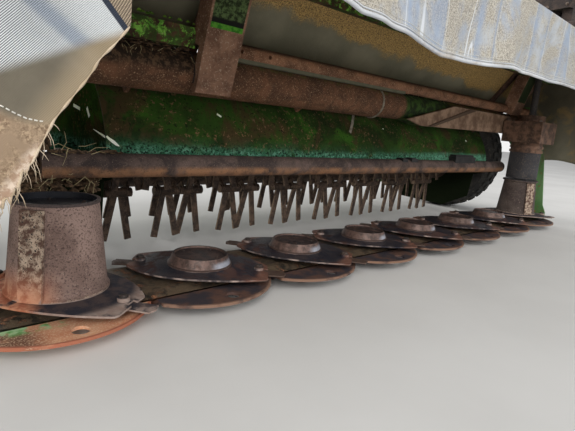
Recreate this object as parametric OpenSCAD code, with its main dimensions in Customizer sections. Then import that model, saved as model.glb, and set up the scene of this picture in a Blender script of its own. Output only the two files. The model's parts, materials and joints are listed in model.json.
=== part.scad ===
// Trailed disc mower with a tined conditioning rotor, eight cutting discs in one row.
// X runs across the machine, the direction of travel is -Y, +Z is up, the ground is Z = 0.
// Each module is drawn in the header's frame, whose Y = 0 is the row of disc axes.

/* [Row of discs] */
// Distance between neighbouring disc axes
disc_pitch = 400; // [380:5:420]
// Height of the plane where hats and drums sit on the disc plates
disc_z = 80; // [76:1:90]
// Half length of the oval disc plate
disc_long = 213; // [200:1:216]
// Half width of the oval disc plate
disc_short = 143; // [135:1:150]
// Radius of the disc plate's full flank, the one ahead of each knife
full_flank_r = 440; // [380:10:480]
// Radius of the disc plate's slack flank
slack_flank_r = 260; // [240:5:280]
// Thickness of the disc plate
disc_t = 5; // [4:0.5:6]
// Fall of the disc plate from its middle to its tips
disc_fall = 10; // [6:1:11]
// Angle of the odd discs' long axis
disc_angle = -52; // [-70:1:-30]
// Radius of the circle that the knife tips cut
knife_tip_r = 266; // [255:1:272]
// Width of a knife
knife_w = 48; // [40:1:54]
// Length of a knife
knife_len = 112; // [100:1:125]
// Thickness of a knife
knife_t = 4; // [3:0.5:5]
// Diameter of the knife's bolt
knife_bolt_d = 18; // [14:1:22]
// Diameter of a disc's spindle
spindle_d = 50; // [40:1:60]
// Running clearance on the radius of every spindle and hinge pin
run_gap = 0.3; // [0.2:0.05:0.4]
// Clearance between pieces that move past each other
move_gap = 5; // [5:0.5:6]

/* [Hats and drums] */
// Radius of the low hat at its foot
hat_foot_r = 93; // [88:1:98]
// Radius of the low hat at its top
hat_top_r = 82; // [76:1:86]
// Height of the low hat
hat_h = 31; // [26:1:38]
// Radius of the end drum at its foot
drum_foot_r = 113; // [106:1:118]
// Radius of the end drum at its top
drum_top_r = 94; // [88:1:100]
// Height of the end drum
drum_h = 220; // [180:5:240]
// Wall of hats and drums
drum_wall = 6; // [4:0.5:8]
// Radial height of the drum's rib
rib_out = 9; // [6:1:14]
// Width of the drum's rib
rib_w = 54; // [44:1:60]
// Turn of the ribs past the oval's short axis
rib_turn = 8; // [0:1:15]

/* [Cutterbar] */
// Underside of the cutterbar above the ground
bar_z = 24; // [20:1:30]
// Height of the cutterbar
bar_h = 28; // [26:1:28]
// Front edge of the cutterbar ahead of the disc axes
bar_front = 108; // [100:1:115]
// Rear edge of the cutterbar behind the disc axes
bar_rear = 165; // [150:1:180]
// Radius of the stone guard's front edge
guard_r = 238; // [230:1:242]
// Distance of that edge's centre from the disc axis towards the idle side
guard_shift = 20; // [15:1:24]
// Thickness of the stone guard
guard_t = 8; // [6:0.5:10]
// Top of the stone guard above the ground
guard_z = 44; // [42:1:48]

/* [Rotor] */
// Distance of the rotor axis behind the disc axes
rotor_y = 508; // [500:1:520]
// Height of the rotor axis
rotor_z = 345; // [340:1:355]
// Radius of the rotor tube
rotor_r = 108; // [100:1:112]
// Radius of the circle of tine pins
pin_circle_r = 139; // [136:1:142]
// Length of a tine from its pin to its tip
tine_len = 182; // [172:1:184]
// Spread of a pair of tines at the tips
tine_spread = 92; // [84:1:96]
// Width of a tine
tine_w = 24; // [18:1:30]
// Thickness of a tine
tine_t = 9; // [7:0.5:11]
// Distance between the tine pairs of one row
tine_pitch = 293; // [290:1:300]
// Diameter of a tine pin
tine_pin_d = 20; // [16:1:24]

/* [Header] */
// Height of the lip tube's axis
lip_z = 359; // [350:1:365]
// Distance of the lip tube's axis behind the disc axes
lip_y = 150; // [140:1:155]
// Radius of the lip tube
lip_r = 35; // [30:1:37]
// Reach of the lip tube past the side sheets
lip_out = 197; // [185:1:205]
// Radius of the hood over the rotor axis
hood_r = 342; // [338:1:350]
// Thickness of the hood sheet
hood_t = 4; // [3:0.5:6]
// Distance of the conditioner's side sheets inside the end discs' axes
side_in = 195; // [185:1:205]
// Reach of the hood past the side sheets
hood_out = 16; // [12:1:30]
// Distance of the beam's axis behind the disc axes
beam_y = 205; // [195:1:210]
// Height of the beam's axis
beam_z = 651; // [645:1:665]
// Radius of the beam
beam_r = 63; // [58:1:66]
// Added radius of the beam's sleeve
sleeve_t = 5; // [4:0.5:8]
// End of the beam's sleeve towards the drive side
sleeve_end = 20; // [0:5:60]
// Reach of the beam past the end discs' axes
beam_out = 290; // [285:1:300]
// Thickness of the end plates
end_t = 12; // [10:1:16]

/* [Canopy] */
// Reach of the canopy past the end plates
canopy_out = 98; // [90:1:110]
// Distance of the canopy's front edge ahead of the disc axes
canopy_front = 430; // [400:5:470]
// Distance of the canopy's rear edge behind the disc axes
canopy_rear = 290; // [284:1:293]
// Height of the canopy's front edge
canopy_front_z = 1005; // [990:5:1010]
// Distance of the canopy's ridge behind the disc axes
canopy_ridge = 110; // [100:5:115]
// Height of the canopy's ridge
canopy_ridge_z = 985; // [975:5:1000]
// Height of the canopy's rear edge
canopy_rear_z = 748; // [745:1:756]
// Height of the side curtains' hem
side_hem_z = 420; // [400:5:450]
// Thickness of the canvas as a plain solid
canvas_t = 6; // [4:0.5:8]
// Height of the curtain tube's axis
rail_z = 737; // [735:1:745]
// Distance of the curtain tube's axis behind the disc axes
rail_y = 148; // [145:1:152]
// Radius of the curtain tube
rail_r = 27; // [24:1:30]

/* [Wheels] */
// Diameter of the tyre
tyre_d = 780; // [740:5:800]
// Width of the tyre
tyre_w = 280; // [250:5:290]
// Distance of the wheel's middle outside the end disc's axis
wheel_out = 220; // [215:1:240]
// Distance of the wheel axis behind the disc axes
wheel_y = 650; // [640:5:700]
// Diameter of the rim
rim_d = 400; // [380:5:420]
// Distance of the wheel arm's pivot behind the disc axes
arm_y = 950; // [940:1:960]
// Height of the wheel arm's pivot
arm_z = 640; // [630:1:650]
// Diameter of the wheel arm's pivot pin
arm_pin_d = 50; // [40:1:60]

/* [Drawbar] */
// Height of the drawbar at its pivot
draw_z = 1145; // [1140:1:1160]
// Length of the drawbar from its pivot to the hitch eye
draw_len = 3900; // [3600:10:4200]
// Angle of the parked drawbar towards the machine's middle
draw_angle = 12; // [0:1:20]
// Width of the drawbar's tube
draw_w = 130; // [110:5:150]
// Height of the drawbar's tube
draw_h = 150; // [130:5:160]
// Height of the hitch eye
hitch_z = 470; // [420:5:520]
// Diameter of the hitch eye's bore
hitch_d = 33; // [30:0.5:40]
// Diameter of the drawbar's pivot pin
pivot_d = 80; // [70:1:90]

/* [Rear] */
// Length of a swath door
door_len = 480; // [440:5:500]
// Angle of a swath door towards the middle
door_angle = 14; // [5:1:20]

/* [Hidden] */
$fn = 48;

discs = 8;
disc_x = [for (i = [0 : discs - 1]) (i - (discs - 1) / 2) * disc_pitch];
row_half = disc_x[discs - 1];
beam_half = row_half + beam_out;
canopy_half = beam_half + end_t + canopy_out;
side_x = row_half - side_in;
hood_half = side_x + hood_out;
lip_half = side_x + lip_out;
wheel_x = row_half + wheel_out;
rust = "sienna";
dark = "dimgray";
paint = "darkgreen";
canvas = "darkseagreen";

// Shift that brings the middle of the whole machine's length to Y = 0
door_y = 820;
rear_reach = door_y + door_len * cos(door_angle);
front_reach = draw_len * cos(draw_angle);
shift_y = (front_reach - rear_reach) / 2;

module place() {
    translate([0, shift_y, 0]) children();
}

// A cylinder along X between two X values at [y, z]
module along_x(x0, x1, y, z, r) {
    translate([x0, y, z]) rotate([0, 90, 0]) cylinder(r = r, h = x1 - x0);
}

// A plate of thickness t from x outwards, its outline given as [y, z] points
module side_plate(x, t, points) {
    translate([x, 0, 0]) rotate([90, 0, 90]) linear_extrude(t) polygon(points);
}

// A plate of thickness t from y rearwards, its outline given as [x, z] points
module front_plate(y, t, points) {
    translate([0, y + t, 0]) rotate([90, 0, 0]) linear_extrude(t) polygon(points);
}

// Cutterbar, a flat gear case with a bearing seat under each disc
bar_top = bar_z + bar_h;
seat_top = disc_z - disc_t - move_gap;
module cutterbar() {
    color(dark) place() difference() {
        union() {
            side_plate(-beam_half, 2 * beam_half, [
                [bar_rear, bar_z], [bar_rear, bar_top - 8], [bar_rear - 30, bar_top],
                [-bar_front + 40, bar_top], [-bar_front, bar_z + 18], [-bar_front + 24, bar_z]]);
            for (x = disc_x) translate([x, 0, bar_z]) cylinder(r = 66, h = seat_top - bar_z);
        }
        for (x = disc_x)
            translate([x, 0, bar_z + 6]) cylinder(d = spindle_d + 2 * run_gap, h = seat_top);
    }
}

// Rounded stone guards, bent down under the bar as skids
guard_gap = 1.5;
module stone_guards() {
    skid_top = bar_z - run_gap;
    color("orangered") place() for (x = disc_x) translate([x, 0, 0]) difference() {
        intersection() {
            side_plate(-disc_pitch / 2 + guard_gap, disc_pitch - 2 * guard_gap, [
                [-guard_r, guard_z], [-122, guard_z], [-bar_front + 20, skid_top], [140, skid_top],
                [140, skid_top - guard_t], [-92, skid_top - guard_t], [-126, guard_z - guard_t],
                [-guard_r, guard_z - guard_t]]);
            translate([-guard_shift, 0, 0]) cylinder(r = guard_r, h = guard_z + 1);
        }
        translate([-10, -195, 0]) cylinder(r = 20, h = guard_z + 1);
    }
}

// Outline of a disc plate: an oval with one full and one slack flank on each half, and square-cut tips
tip_x = disc_long - 3;
corner_r = disc_long + 12;
module flank(r) {
    translate([0, r - disc_short]) circle(r = r);
}
module disc_outline() {
    for (a = [0, 180]) rotate(a) intersection() {
        circle(r = corner_r);
        union() {
            intersection() {
                flank(full_flank_r);
                translate([0, -disc_long]) square([tip_x, disc_long + 1]);
            }
            intersection() {
                circle(r = disc_long);
                flank(slack_flank_r);
                translate([-tip_x, -disc_long]) square([tip_x + 1, disc_long + 1]);
            }
        }
    }
}

// Knife with round ends, hung on its bolt, along +X
knife_top = disc_z - 16;
knife_bolt_r = knife_tip_r - knife_len + knife_w / 2 + 4;
knife_shift = 14;
module knife() {
    mid = knife_len - knife_w;
    translate([knife_tip_r - knife_len + knife_w / 2, -knife_shift, knife_top - knife_t]) {
        cylinder(d = knife_w, h = knife_t);
        translate([0, -knife_w / 2, 0]) cube([mid + 18, knife_w, knife_t]);
        translate([mid, 0, 0]) intersection() {
            cylinder(d = knife_w, h = knife_t);
            translate([0, -knife_w / 2, 0]) cube([knife_w, knife_w, knife_t]);
        }
    }
}

// Dished oval plate with its spindle and two knives, notched at the tips where the knives come out
flat_r = 100;
corner_fall = disc_fall * (corner_r - flat_r) / (disc_long - flat_r);
tip_notch = 30;
module disc_plate() {
    intersection() {
        rotate_extrude() polygon([
            [0, disc_z - disc_t], [0, disc_z], [flat_r, disc_z], [corner_r, disc_z - corner_fall],
            [corner_r, disc_z - corner_fall - disc_t], [flat_r, disc_z - disc_t]]);
        linear_extrude(disc_z + 1) difference() {
            disc_outline();
            for (a = [0, 180]) rotate(a)
                translate([disc_long - 14, -knife_shift - tip_notch / 2]) square([20, tip_notch]);
        }
    }
    translate([0, 0, bar_z + 8]) cylinder(d = spindle_d, h = disc_z - disc_t - bar_z - 7);
    for (a = [0, 180]) rotate(a) {
        knife();
        translate([knife_bolt_r, -knife_shift, knife_top - knife_t - 3]) cylinder(d = knife_bolt_d, h = 17);
        translate([knife_bolt_r, -knife_shift, disc_z - 7]) cylinder(d = knife_bolt_d + 12, h = 9);
    }
}

// Low hat with a rim round its sunken lid
module hat() {
    rotate_extrude() polygon([
        [0, disc_z - 1], [hat_foot_r + 4, disc_z - 1], [hat_foot_r + 4, disc_z + 3],
        [hat_foot_r, disc_z + 5], [hat_top_r, disc_z + hat_h], [hat_top_r - drum_wall, disc_z + hat_h],
        [hat_top_r - drum_wall - 1, disc_z + hat_h - 5], [0, disc_z + hat_h - 5]]);
}

// Tall open-topped drum with a sunken lid and two ribs
module drum() {
    lid_z = disc_z + drum_h - 16;
    rotate_extrude() polygon([
        [0, disc_z - 1], [drum_foot_r + 5, disc_z - 1], [drum_foot_r + 5, disc_z + 4],
        [drum_foot_r, disc_z + 7], [drum_top_r, disc_z + drum_h - 6], [drum_top_r + 3, disc_z + drum_h - 6],
        [drum_top_r + 3, disc_z + drum_h], [drum_top_r - drum_wall, disc_z + drum_h],
        [drum_top_r - drum_wall, lid_z], [0, lid_z],
        [0, lid_z - 5], [drum_top_r - drum_wall, lid_z - 6], [drum_foot_r - drum_wall, disc_z + 7],
        [drum_foot_r - drum_wall, disc_z + 2], [0, disc_z + 2]]);
    for (a = [90, 270]) rotate(a + rib_turn) rotate([90, 0, 0]) translate([0, 0, -rib_w / 2])
        linear_extrude(rib_w) polygon([
            [drum_foot_r - 12, disc_z + 2], [drum_foot_r + rib_out, disc_z + 2],
            [drum_top_r + rib_out, disc_z + drum_h - 12], [drum_top_r - 4, disc_z + drum_h - 12]]);
}

// Drive drum, lower than the idle one and closed by a ring
drive_drum_h = 205;
module drive_drum() {
    rotate_extrude() polygon([
        [0, disc_z - 1], [drum_foot_r + 5, disc_z - 1], [drum_foot_r + 5, disc_z + 4],
        [drum_foot_r, disc_z + 7], [drum_top_r, disc_z + drive_drum_h],
        [drum_top_r + 10, disc_z + drive_drum_h], [drum_top_r + 10, disc_z + drive_drum_h + 9],
        [drum_top_r, disc_z + drive_drum_h + 12], [0, disc_z + drive_drum_h + 12],
        [0, disc_z + drive_drum_h + 2], [drum_top_r - drum_wall, disc_z + drive_drum_h - 4],
        [drum_foot_r - drum_wall, disc_z + 7], [drum_foot_r - drum_wall, disc_z + 2], [0, disc_z + 2]]);
    for (a = [90, 270]) rotate(a + rib_turn) rotate([90, 0, 0]) translate([0, 0, -rib_w / 2])
        linear_extrude(rib_w) polygon([
            [drum_foot_r - 12, disc_z + 2], [drum_foot_r + rib_out, disc_z + 2],
            [drum_top_r + rib_out, disc_z + drive_drum_h - 6], [drum_top_r - 4, disc_z + drive_drum_h - 6]]);
}

// Disc i from 1, neighbours timed a quarter turn apart and turning opposite ways
function rest_angle(i) = (i % 2 == 1) ? disc_angle : 90 - disc_angle;
module disc(i) {
    color(dark) place() translate([disc_x[i - 1], 0, 0]) rotate(rest_angle(i)) {
        disc_plate();
        if (i == 1) drum();
        else if (i == discs) drive_drum();
        else hat();
    }
}

// Round main beam with a sleeve on its idle side and the hangers that carry the hood
hanger_x = [-side_x + 70, -420, 420, side_x - 70];
hanger_t = 12;
gusset_x0 = 210;
gusset_x1 = beam_half - 50;
gusset_y = beam_y - 81;
gusset_t = 76;
rib_t = 8;
module header_beam() {
    color(rust) place() {
        along_x(-beam_half, beam_half, beam_y, beam_z, beam_r);
        along_x(-beam_half + 30, sleeve_end, beam_y, beam_z, beam_r + sleeve_t);
        front_plate(gusset_y, gusset_t, [
            [gusset_x0, beam_z - 59], [gusset_x0 + 120, beam_z - 84], [gusset_x1 - 60, beam_z - 68],
            [gusset_x1, beam_z - 20], [gusset_x1, beam_z + 38], [gusset_x0 + 430, beam_z + 38]]);
        front_plate(gusset_y - rib_t, rib_t + 2, [
            [gusset_x0 + 180, beam_z - 82], [gusset_x0 + 225, beam_z - 82], [gusset_x0 + 680, beam_z + 36],
            [gusset_x0 + 600, beam_z + 36]]);
        for (x = hanger_x) difference() {
            side_plate(x - hanger_t / 2, hanger_t, [
                [beam_y - 30, beam_z - 40], [beam_y + 90, beam_z - 110], [beam_y + 150, beam_z - 30],
                [beam_y + 150, beam_z + 10], [beam_y + 40, beam_z + 40]]);
            along_x(x - hanger_t, x + hanger_t, rotor_y, rotor_z, hood_r + hood_t + run_gap);
        }
    }
}

// End plates outside the end discs, from the cutterbar up to the beam
module header_ends() {
    color(paint) place() for (s = [-1, 1])
        translate([s > 0 ? beam_half + run_gap : -beam_half - run_gap - end_t, 0, 0]) difference() {
            side_plate(0, end_t, [
                [-90, bar_z], [bar_rear, bar_z], [bar_rear - 10, 120], [140, 420], [290, 600],
                [290, 700], [240, 775], [120, 775], [60, 620], [-20, 440], [-66, 120], [-90, 70]]);
            if (s > 0) translate([-1, rail_y, rail_z]) rotate([0, 90, 0])
                cylinder(r = rail_r + run_gap, h = end_t + 2);
            translate([-1, 60, 330]) rotate([0, 90, 0]) cylinder(r = 38, h = end_t + 2);
            translate([-1, 30, 190]) rotate([0, 90, 0]) cylinder(r = 32, h = end_t + 2);
        }
}

// Tube along the front edge of the hood
module lip_tube() {
    color(rust) place() along_x(-lip_half, lip_half, lip_y, lip_z, lip_r);
}

// Curved hood over the rotor: an arc from the lip tube over the top to the rear
hood_rear_half = side_x - 4;
hood_end = 42;
hood_edge = [rotor_y + hood_r * cos(hood_end), rotor_z + hood_r * sin(hood_end)];
eye_x = [-900, -300, 300, 900];
eye_t = 12;
eye_r = 20;
hinge_rod_r = 12;
module ring_sector(r, t, a0, a1) {
    reach = 2 * r;
    difference() {
        intersection() {
            circle(r = r + t);
            polygon([[0, 0], for (k = [0 : 4]) let(a = a0 + (a1 - a0) * k / 4) reach * [cos(a), sin(a)]]);
        }
        circle(r = r);
    }
}
module hood() {
    color(paint) place() difference() {
        translate([0, rotor_y, rotor_z]) {
            translate([-hood_half, 0, 0]) rotate([90, 0, 90])
                linear_extrude(2 * hood_half) ring_sector(hood_r, hood_t, 90, 177);
            translate([-hood_rear_half, 0, 0]) rotate([90, 0, 90])
                linear_extrude(2 * hood_rear_half) ring_sector(hood_r, hood_t, hood_end, 91);
        }
        along_x(-beam_half, beam_half, lip_y, lip_z, lip_r + run_gap);
    }
    color(paint) place() for (x = eye_x) difference() {
        union() {
            along_x(x - eye_t / 2, x + eye_t / 2, deflector_pin[0], deflector_pin[1], eye_r);
            side_plate(x - eye_t / 2, eye_t, [
                [hood_edge[0] - 30, hood_edge[1] + 22], [hood_edge[0] - 2, hood_edge[1] - 4],
                [deflector_pin[0], deflector_pin[1] - eye_r + 4],
                [deflector_pin[0], deflector_pin[1] + eye_r - 2],
                [hood_edge[0] - 20, hood_edge[1] + 34]]);
        }
        along_x(x - eye_t, x + eye_t, deflector_pin[0], deflector_pin[1], hinge_rod_r + run_gap);
    }
}

// Side sheets of the conditioner with the rotor's bearings
side_t = 8;
door_low = 150;
door_high = 300;
door_pin_r = 7;
lug_t = 10;
rotor_shaft_d = 60;
module side_outline() {
    intersection() {
        polygon([
            [250, 150], [420, 62], [760, 70], [door_y - 8, 150], [door_y - 8, 560], [700, 640],
            [rotor_y, rotor_z + hood_r + 20], [120, rotor_z + hood_r], [120, 330], [230, 300]]);
        union() {
            translate([rotor_y, rotor_z]) circle(r = hood_r - run_gap);
            translate([rotor_y, 0]) square([500, rotor_z + hood_r - run_gap]);
        }
    }
}
module hood_sides() {
    color(dark) place() for (s = [-1, 1]) mirror([s < 0 ? 1 : 0, 0, 0]) difference() {
        union() {
            translate([side_x, 0, 0]) rotate([90, 0, 90]) linear_extrude(side_t) side_outline();
            along_x(side_x, side_x + 40, rotor_y, rotor_z, 70);
            for (z = [door_low - lug_t - move_gap, door_low + door_high + move_gap])
                translate([side_x - 32, door_y - 20, z]) cube([32 + side_t, 44, lug_t]);
            translate([side_x - 16, door_y + 8, door_low - move_gap - 1])
                cylinder(r = door_pin_r, h = door_high + 2 * move_gap + 2);
        }
        along_x(side_x - 1, side_x + 60, rotor_y, rotor_z, rotor_shaft_d / 2 + run_gap);
        along_x(side_x - 1, side_x + 60, lip_y, lip_z, lip_r + run_gap);
    }
}

// Leaning channels up to the ridge rail: one on a saddle plate on the beam, one on the curtain tube
bracket_x = -898;
bracket_w = 132;
bracket_lean = 17;
bracket_wall = 8;
bracket_depth = 70;
saddle_low = -37;
saddle_high = 128;
bracket_front = beam_r + sleeve_t + run_gap + 22;
arm_x0 = row_half - 90;
arm_w = 130;
module leaning_channel(x, w, low) {
    inner = w - 2 * bracket_wall;
    translate([x, beam_y, beam_z]) rotate([bracket_lean, 0, 0])
        translate([0, -bracket_front, low]) difference() {
            cube([w, bracket_depth, 400]);
            translate([bracket_wall, bracket_wall, -1]) cube([inner, bracket_depth, 402]);
        }
}
module beam_brackets() {
    color(rust) place() difference() {
        union() {
            translate([bracket_x - bracket_w / 2, beam_y, beam_z]) rotate([bracket_lean, 0, 0])
                translate([0, -bracket_front, saddle_low]) cube([bracket_w, 30, saddle_high - saddle_low]);
            leaning_channel(bracket_x - bracket_w / 2, bracket_w, saddle_high - 30);
            leaning_channel(arm_x0, arm_w, 76);
        }
        along_x(-beam_half, beam_half, beam_y, beam_z, beam_r + sleeve_t + run_gap);
        along_x(bracket_x + bracket_w / 2, canopy_half, rail_y, rail_z, rail_r + run_gap);
        translate([-canopy_half, -canopy_front, ridge_low - run_gap]) cube([2 * canopy_half, 700, 400]);
    }
}

// Curtain tube through the brackets in front of the beam, with a flat strip under its idle end
tube_x0 = bracket_x + bracket_w / 2 + run_gap;
strip_len = 1000;
module curtain_tube() {
    color(rust) place() difference() {
        union() {
            along_x(tube_x0, canopy_half - 20, rail_y, rail_z, rail_r);
            translate([tube_x0, rail_y - 16, rail_z - rail_r - 6]) cube([strip_len, 24, 12]);
        }
        for (x = [-800, -680])
            translate([x, rail_y - 60, rail_z]) rotate([-90, 0, 0]) cylinder(d = 13, h = 120);
    }
}

// Canopy frame: the front rail, the ridge rail and the ledge on the idle side
rail_s = 40;
ridge_w = 30;
ridge_y = canopy_ridge - 70;
sheet_low = canvas_t + run_gap;
ridge_low = canopy_ridge_z - sheet_low - rail_s;
front_rail_y = -canopy_front + 6;
module canopy_frame() {
    color(paint) place() {
        translate([-canopy_half, front_rail_y, canopy_front_z - sheet_low - rail_s - 2])
            cube([2 * canopy_half, rail_s, rail_s]);
        translate([-canopy_half, ridge_y, ridge_low]) cube([2 * canopy_half, ridge_w, rail_s]);
        translate([-beam_half + run_gap, ledge_y, ledge_z]) cube([ledge_len, 6, 60]);
        translate([-beam_half + run_gap, ledge_y, ledge_z]) cube([ledge_len, 56, 6]);
    }
}
ledge_y = 140;
ledge_z = beam_z + beam_r + sleeve_t + run_gap;
ledge_len = beam_half + bracket_x - bracket_w / 2 - 2 * run_gap;

// The canopy's outline from the front edge over the ridge to the rear edge, lowered by d
function canopy_line(d) = [
    [-canopy_front, canopy_front_z - d], [canopy_ridge, canopy_ridge_z - d],
    [canopy_rear, canopy_rear_z - d]];
// Height of that outline at y, on its front and on its rear slope
function front_slope(y) = canopy_front_z
    + (y + canopy_front) * (canopy_ridge_z - canopy_front_z) / (canopy_front + canopy_ridge);
function rear_slope(y) = canopy_ridge_z
    + (y - canopy_ridge) * (canopy_rear_z - canopy_ridge_z) / (canopy_rear - canopy_ridge);

// Rafters under the sheet, between the two rails and behind the ridge rail
rafter_x = [-canopy_half + 20, -1350, bracket_x, row_half - 60, canopy_half - 60];
rafter_w = 40;
rafter_h = 30;
module rafter(y0, z0, y1, z1) {
    low = sheet_low + rafter_h;
    side_plate(-rafter_w / 2, rafter_w, [
        [y0, z0 - sheet_low], [y1, z1 - sheet_low], [y1, z1 - low], [y0, z0 - low]]);
}
module canopy_rafters() {
    rail_back = front_rail_y + rail_s;
    ridge_back = ridge_y + ridge_w;
    color(paint) place() for (x = rafter_x) translate([x, 0, 0]) {
        rafter(rail_back, front_slope(rail_back), ridge_y, front_slope(ridge_y));
        rafter(ridge_back, front_slope(ridge_back), canopy_ridge, canopy_ridge_z);
        rafter(canopy_ridge, canopy_ridge_z, canopy_rear, rear_slope(canopy_rear));
    }
}

// Canvas over the canopy, a plain bent sheet
module canopy_top() {
    color(canvas) place() difference() {
        side_plate(-canopy_half, 2 * canopy_half, concat(
            canopy_line(0), [for (k = [2, 1, 0]) canopy_line(canvas_t)[k]]));
        translate([row_half, 0, canopy_ridge_z - 60]) cylinder(r = column_r + 8, h = 120);
    }
}

// Front apron: its hem height at places across the machine, as [x, z]
hem = [
    [-canopy_half, 300], [-canopy_half + 210, 367], [-canopy_half + 242, 419], [-canopy_half + 281, 492],
    [-canopy_half + 329, 560], [-canopy_half + 390, 640], [-canopy_half + 396, 792],
    [-canopy_half + 800, 790], [-canopy_half + 814, 775], [-913, 761], [-728, 759], [-528, 734],
    [-286, 745], [22, 769], [655, 768], [1200, 745], [canopy_half, 700]];
module front_curtain() {
    top = [[canopy_half, canopy_front_z], [-canopy_half, canopy_front_z]];
    color(canvas) place() front_plate(-canopy_front - canvas_t, canvas_t, concat(top, hem));
}

// Side aprons at both ends of the canopy
module side_curtains() {
    color(canvas) place() for (s = [-1, 1])
        translate([s > 0 ? canopy_half + run_gap : -canopy_half - canvas_t - run_gap, 0, 0])
            side_plate(0, canvas_t, [
                [-canopy_front, side_hem_z], [-canopy_front, canopy_front_z], [canopy_ridge, canopy_ridge_z],
                [canopy_rear, canopy_rear_z], [canopy_rear - 60, side_hem_z]]);
}

// Drive to the last disc: stationary sleeve, collars, gear case and column
drive_low = disc_z + drive_drum_h + 12 + 5;
gear_z = 530;
column_r = 20;
module drive_gearbox() {
    color(dark) place() translate([row_half, 0, 0]) {
        translate([0, 0, drive_low]) cylinder(r = 91, h = gear_z - drive_low);
        for (z = [gear_z - 60, gear_z - 34]) translate([0, 0, z]) cylinder(r = 97, h = 16);
        translate([-125, -115, gear_z]) cube([250, 230, 130]);
        translate([0, 0, gear_z + 130]) cylinder(r = 80, h = 40);
        translate([0, 0, gear_z + 170]) cylinder(r = column_r, h = 320);
    }
}

// Belt guard of the rotor's drive, outside the drive-side sheet
module rotor_drive_guard() {
    x0 = side_x + 40 + run_gap;
    color(paint) place() difference() {
        union() {
            along_x(x0, x0 + 36, rotor_y, rotor_z, 105);
            along_x(x0, x0 + 36, 330, 545, 68);
            side_plate(x0, 36, [[277, 502], [422, 285], [600, 395], [385, 584]]);
        }
        along_x(x0 - 1, x0 + 20, rotor_y, rotor_z, rotor_shaft_d / 2 + 6);
    }
}

// Carrier frame: cross tube, saddles on the beam, pivot of the drawbar
frame_y = 360;
frame_z = 900;
frame_s = 150;
post_z = frame_z + frame_s - 1;
saddle_x = [-600, 600];
saddle_w = 80;
leg_x = [wheel_x - 228, wheel_x - 164];
leg_t = 12;
module main_frame() {
    color(paint) place() {
        translate([-leg_x[1] - 24, frame_y, frame_z]) cube([2 * leg_x[1] + 48, frame_s, frame_s]);
        for (x = saddle_x) difference() {
            side_plate(x - saddle_w / 2, saddle_w, [
                [beam_y, beam_z + 41], [435, beam_z + 43], [435, frame_z + 1], [365, frame_z + 1],
                [365, beam_z + 81], [beam_y, beam_z + 81]]);
            along_x(x - saddle_w, x + saddle_w, beam_y, beam_z, beam_r + sleeve_t + run_gap);
        }
        translate([swing_frame[0] - 34, swing_frame[1] + 44, post_z]) cube([68, 60, swing_z + 45 - post_z]);
        for (z = [swing_z - 44, swing_z + 31]) translate([swing_frame[0], swing_frame[1], z]) {
            cylinder(r = 34, h = 13);
            translate([-34, 0, 0]) cube([68, 60, 13]);
        }
        translate([swing_frame[0], swing_frame[1], swing_z - 40]) cylinder(d = swing_pin_d, h = 80);
        for (z = [draw_z - 125, draw_z + 90]) translate([row_half, 0, z]) difference() {
            union() {
                cylinder(r = 95, h = 35);
                translate([-95, 0, 0]) cube([190, frame_y + 30, 35]);
            }
            translate([0, 0, -1]) cylinder(d = pivot_d, h = 40);
        }
        translate([row_half - 95, frame_y, post_z]) cube([190, 120, draw_z + 125 - post_z]);
        translate([row_half, 0, draw_z - 125]) cylinder(d = pivot_d, h = 250);
    }
}

// Leg plates behind and under the cross tube, with the pins of the wheel arms and lift cylinders
module frame_legs() {
    color(paint) place() for (s = [-1, 1]) mirror([s < 0 ? 1 : 0, 0, 0]) {
        for (x = leg_x) side_plate(x, leg_t, [
            [frame_y, frame_z - 20], [frame_y, frame_z], [frame_y + frame_s, frame_z],
            [frame_y + frame_s, frame_z + frame_s], [arm_y + 60, arm_z + 150], [arm_y + 60, arm_z - 50],
            [arm_y - 50, arm_z - 50], [arm_y - 60, arm_z + 60], [640, frame_z - 20]]);
        along_x(leg_x[0], leg_x[1] + leg_t, arm_y, arm_z, arm_pin_d / 2);
        along_x(leg_x[0], leg_x[1] + leg_t, lift_top[0], lift_top[1], lift_pin_d / 2);
    }
}

// Rotor: tube, shaft, ears and the pins of the tine pairs
// Each row: angle of its pins round the rotor, swing of its tines from straight down, shift along X
rows = [
    [236, 5, 0],
    [236, 0, 187],
    [326, 5, 82],
    [326, 0, 269],
    [56, 31, 40],
    [56, 26, 227],
    [146, -8, 120],
    [146, -3, 14]];
row_start = -side_x + 121;
function pairs(row) = floor((-2 * row_start - row[2]) / tine_pitch);
module at_pair(row, k) {
    x = row_start + row[2] + k * tine_pitch;
    translate([x, rotor_y + pin_circle_r * cos(row[0]), rotor_z + pin_circle_r * sin(row[0])]) children();
}
ear_gap = 36;
ear_t = 8;
ear_r = 17;
ear_foot = pin_circle_r - rotor_r + 4;
pin_half = 49;
pin_head_t = 8;
module rotor() {
    color(rust) place() {
        along_x(-side_x + 8, side_x - 8, rotor_y, rotor_z, rotor_r);
        along_x(-side_x - 60, side_x + 60, rotor_y, rotor_z, rotor_shaft_d / 2);
        for (row = rows, k = [0 : pairs(row)]) at_pair(row, k) rotate([row[0], 0, 0]) {
            for (s = [-1, 1]) translate([s * ear_gap - ear_t / 2, 0, 0])
                rotate([90, 0, 90]) linear_extrude(ear_t) {
                    circle(r = ear_r);
                    translate([-ear_foot, -ear_r]) square([ear_foot, 2 * ear_r]);
                }
            translate([-pin_half, 0, 0]) rotate([0, 90, 0]) rotate_extrude() polygon([
                [0, 0], [ear_r, 0], [ear_r, pin_head_t], [tine_pin_d / 2, pin_head_t],
                [tine_pin_d / 2, 2 * pin_half - pin_head_t], [ear_r, 2 * pin_half - pin_head_t],
                [ear_r, 2 * pin_half], [0, 2 * pin_half]]);
        }
    }
}

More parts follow.
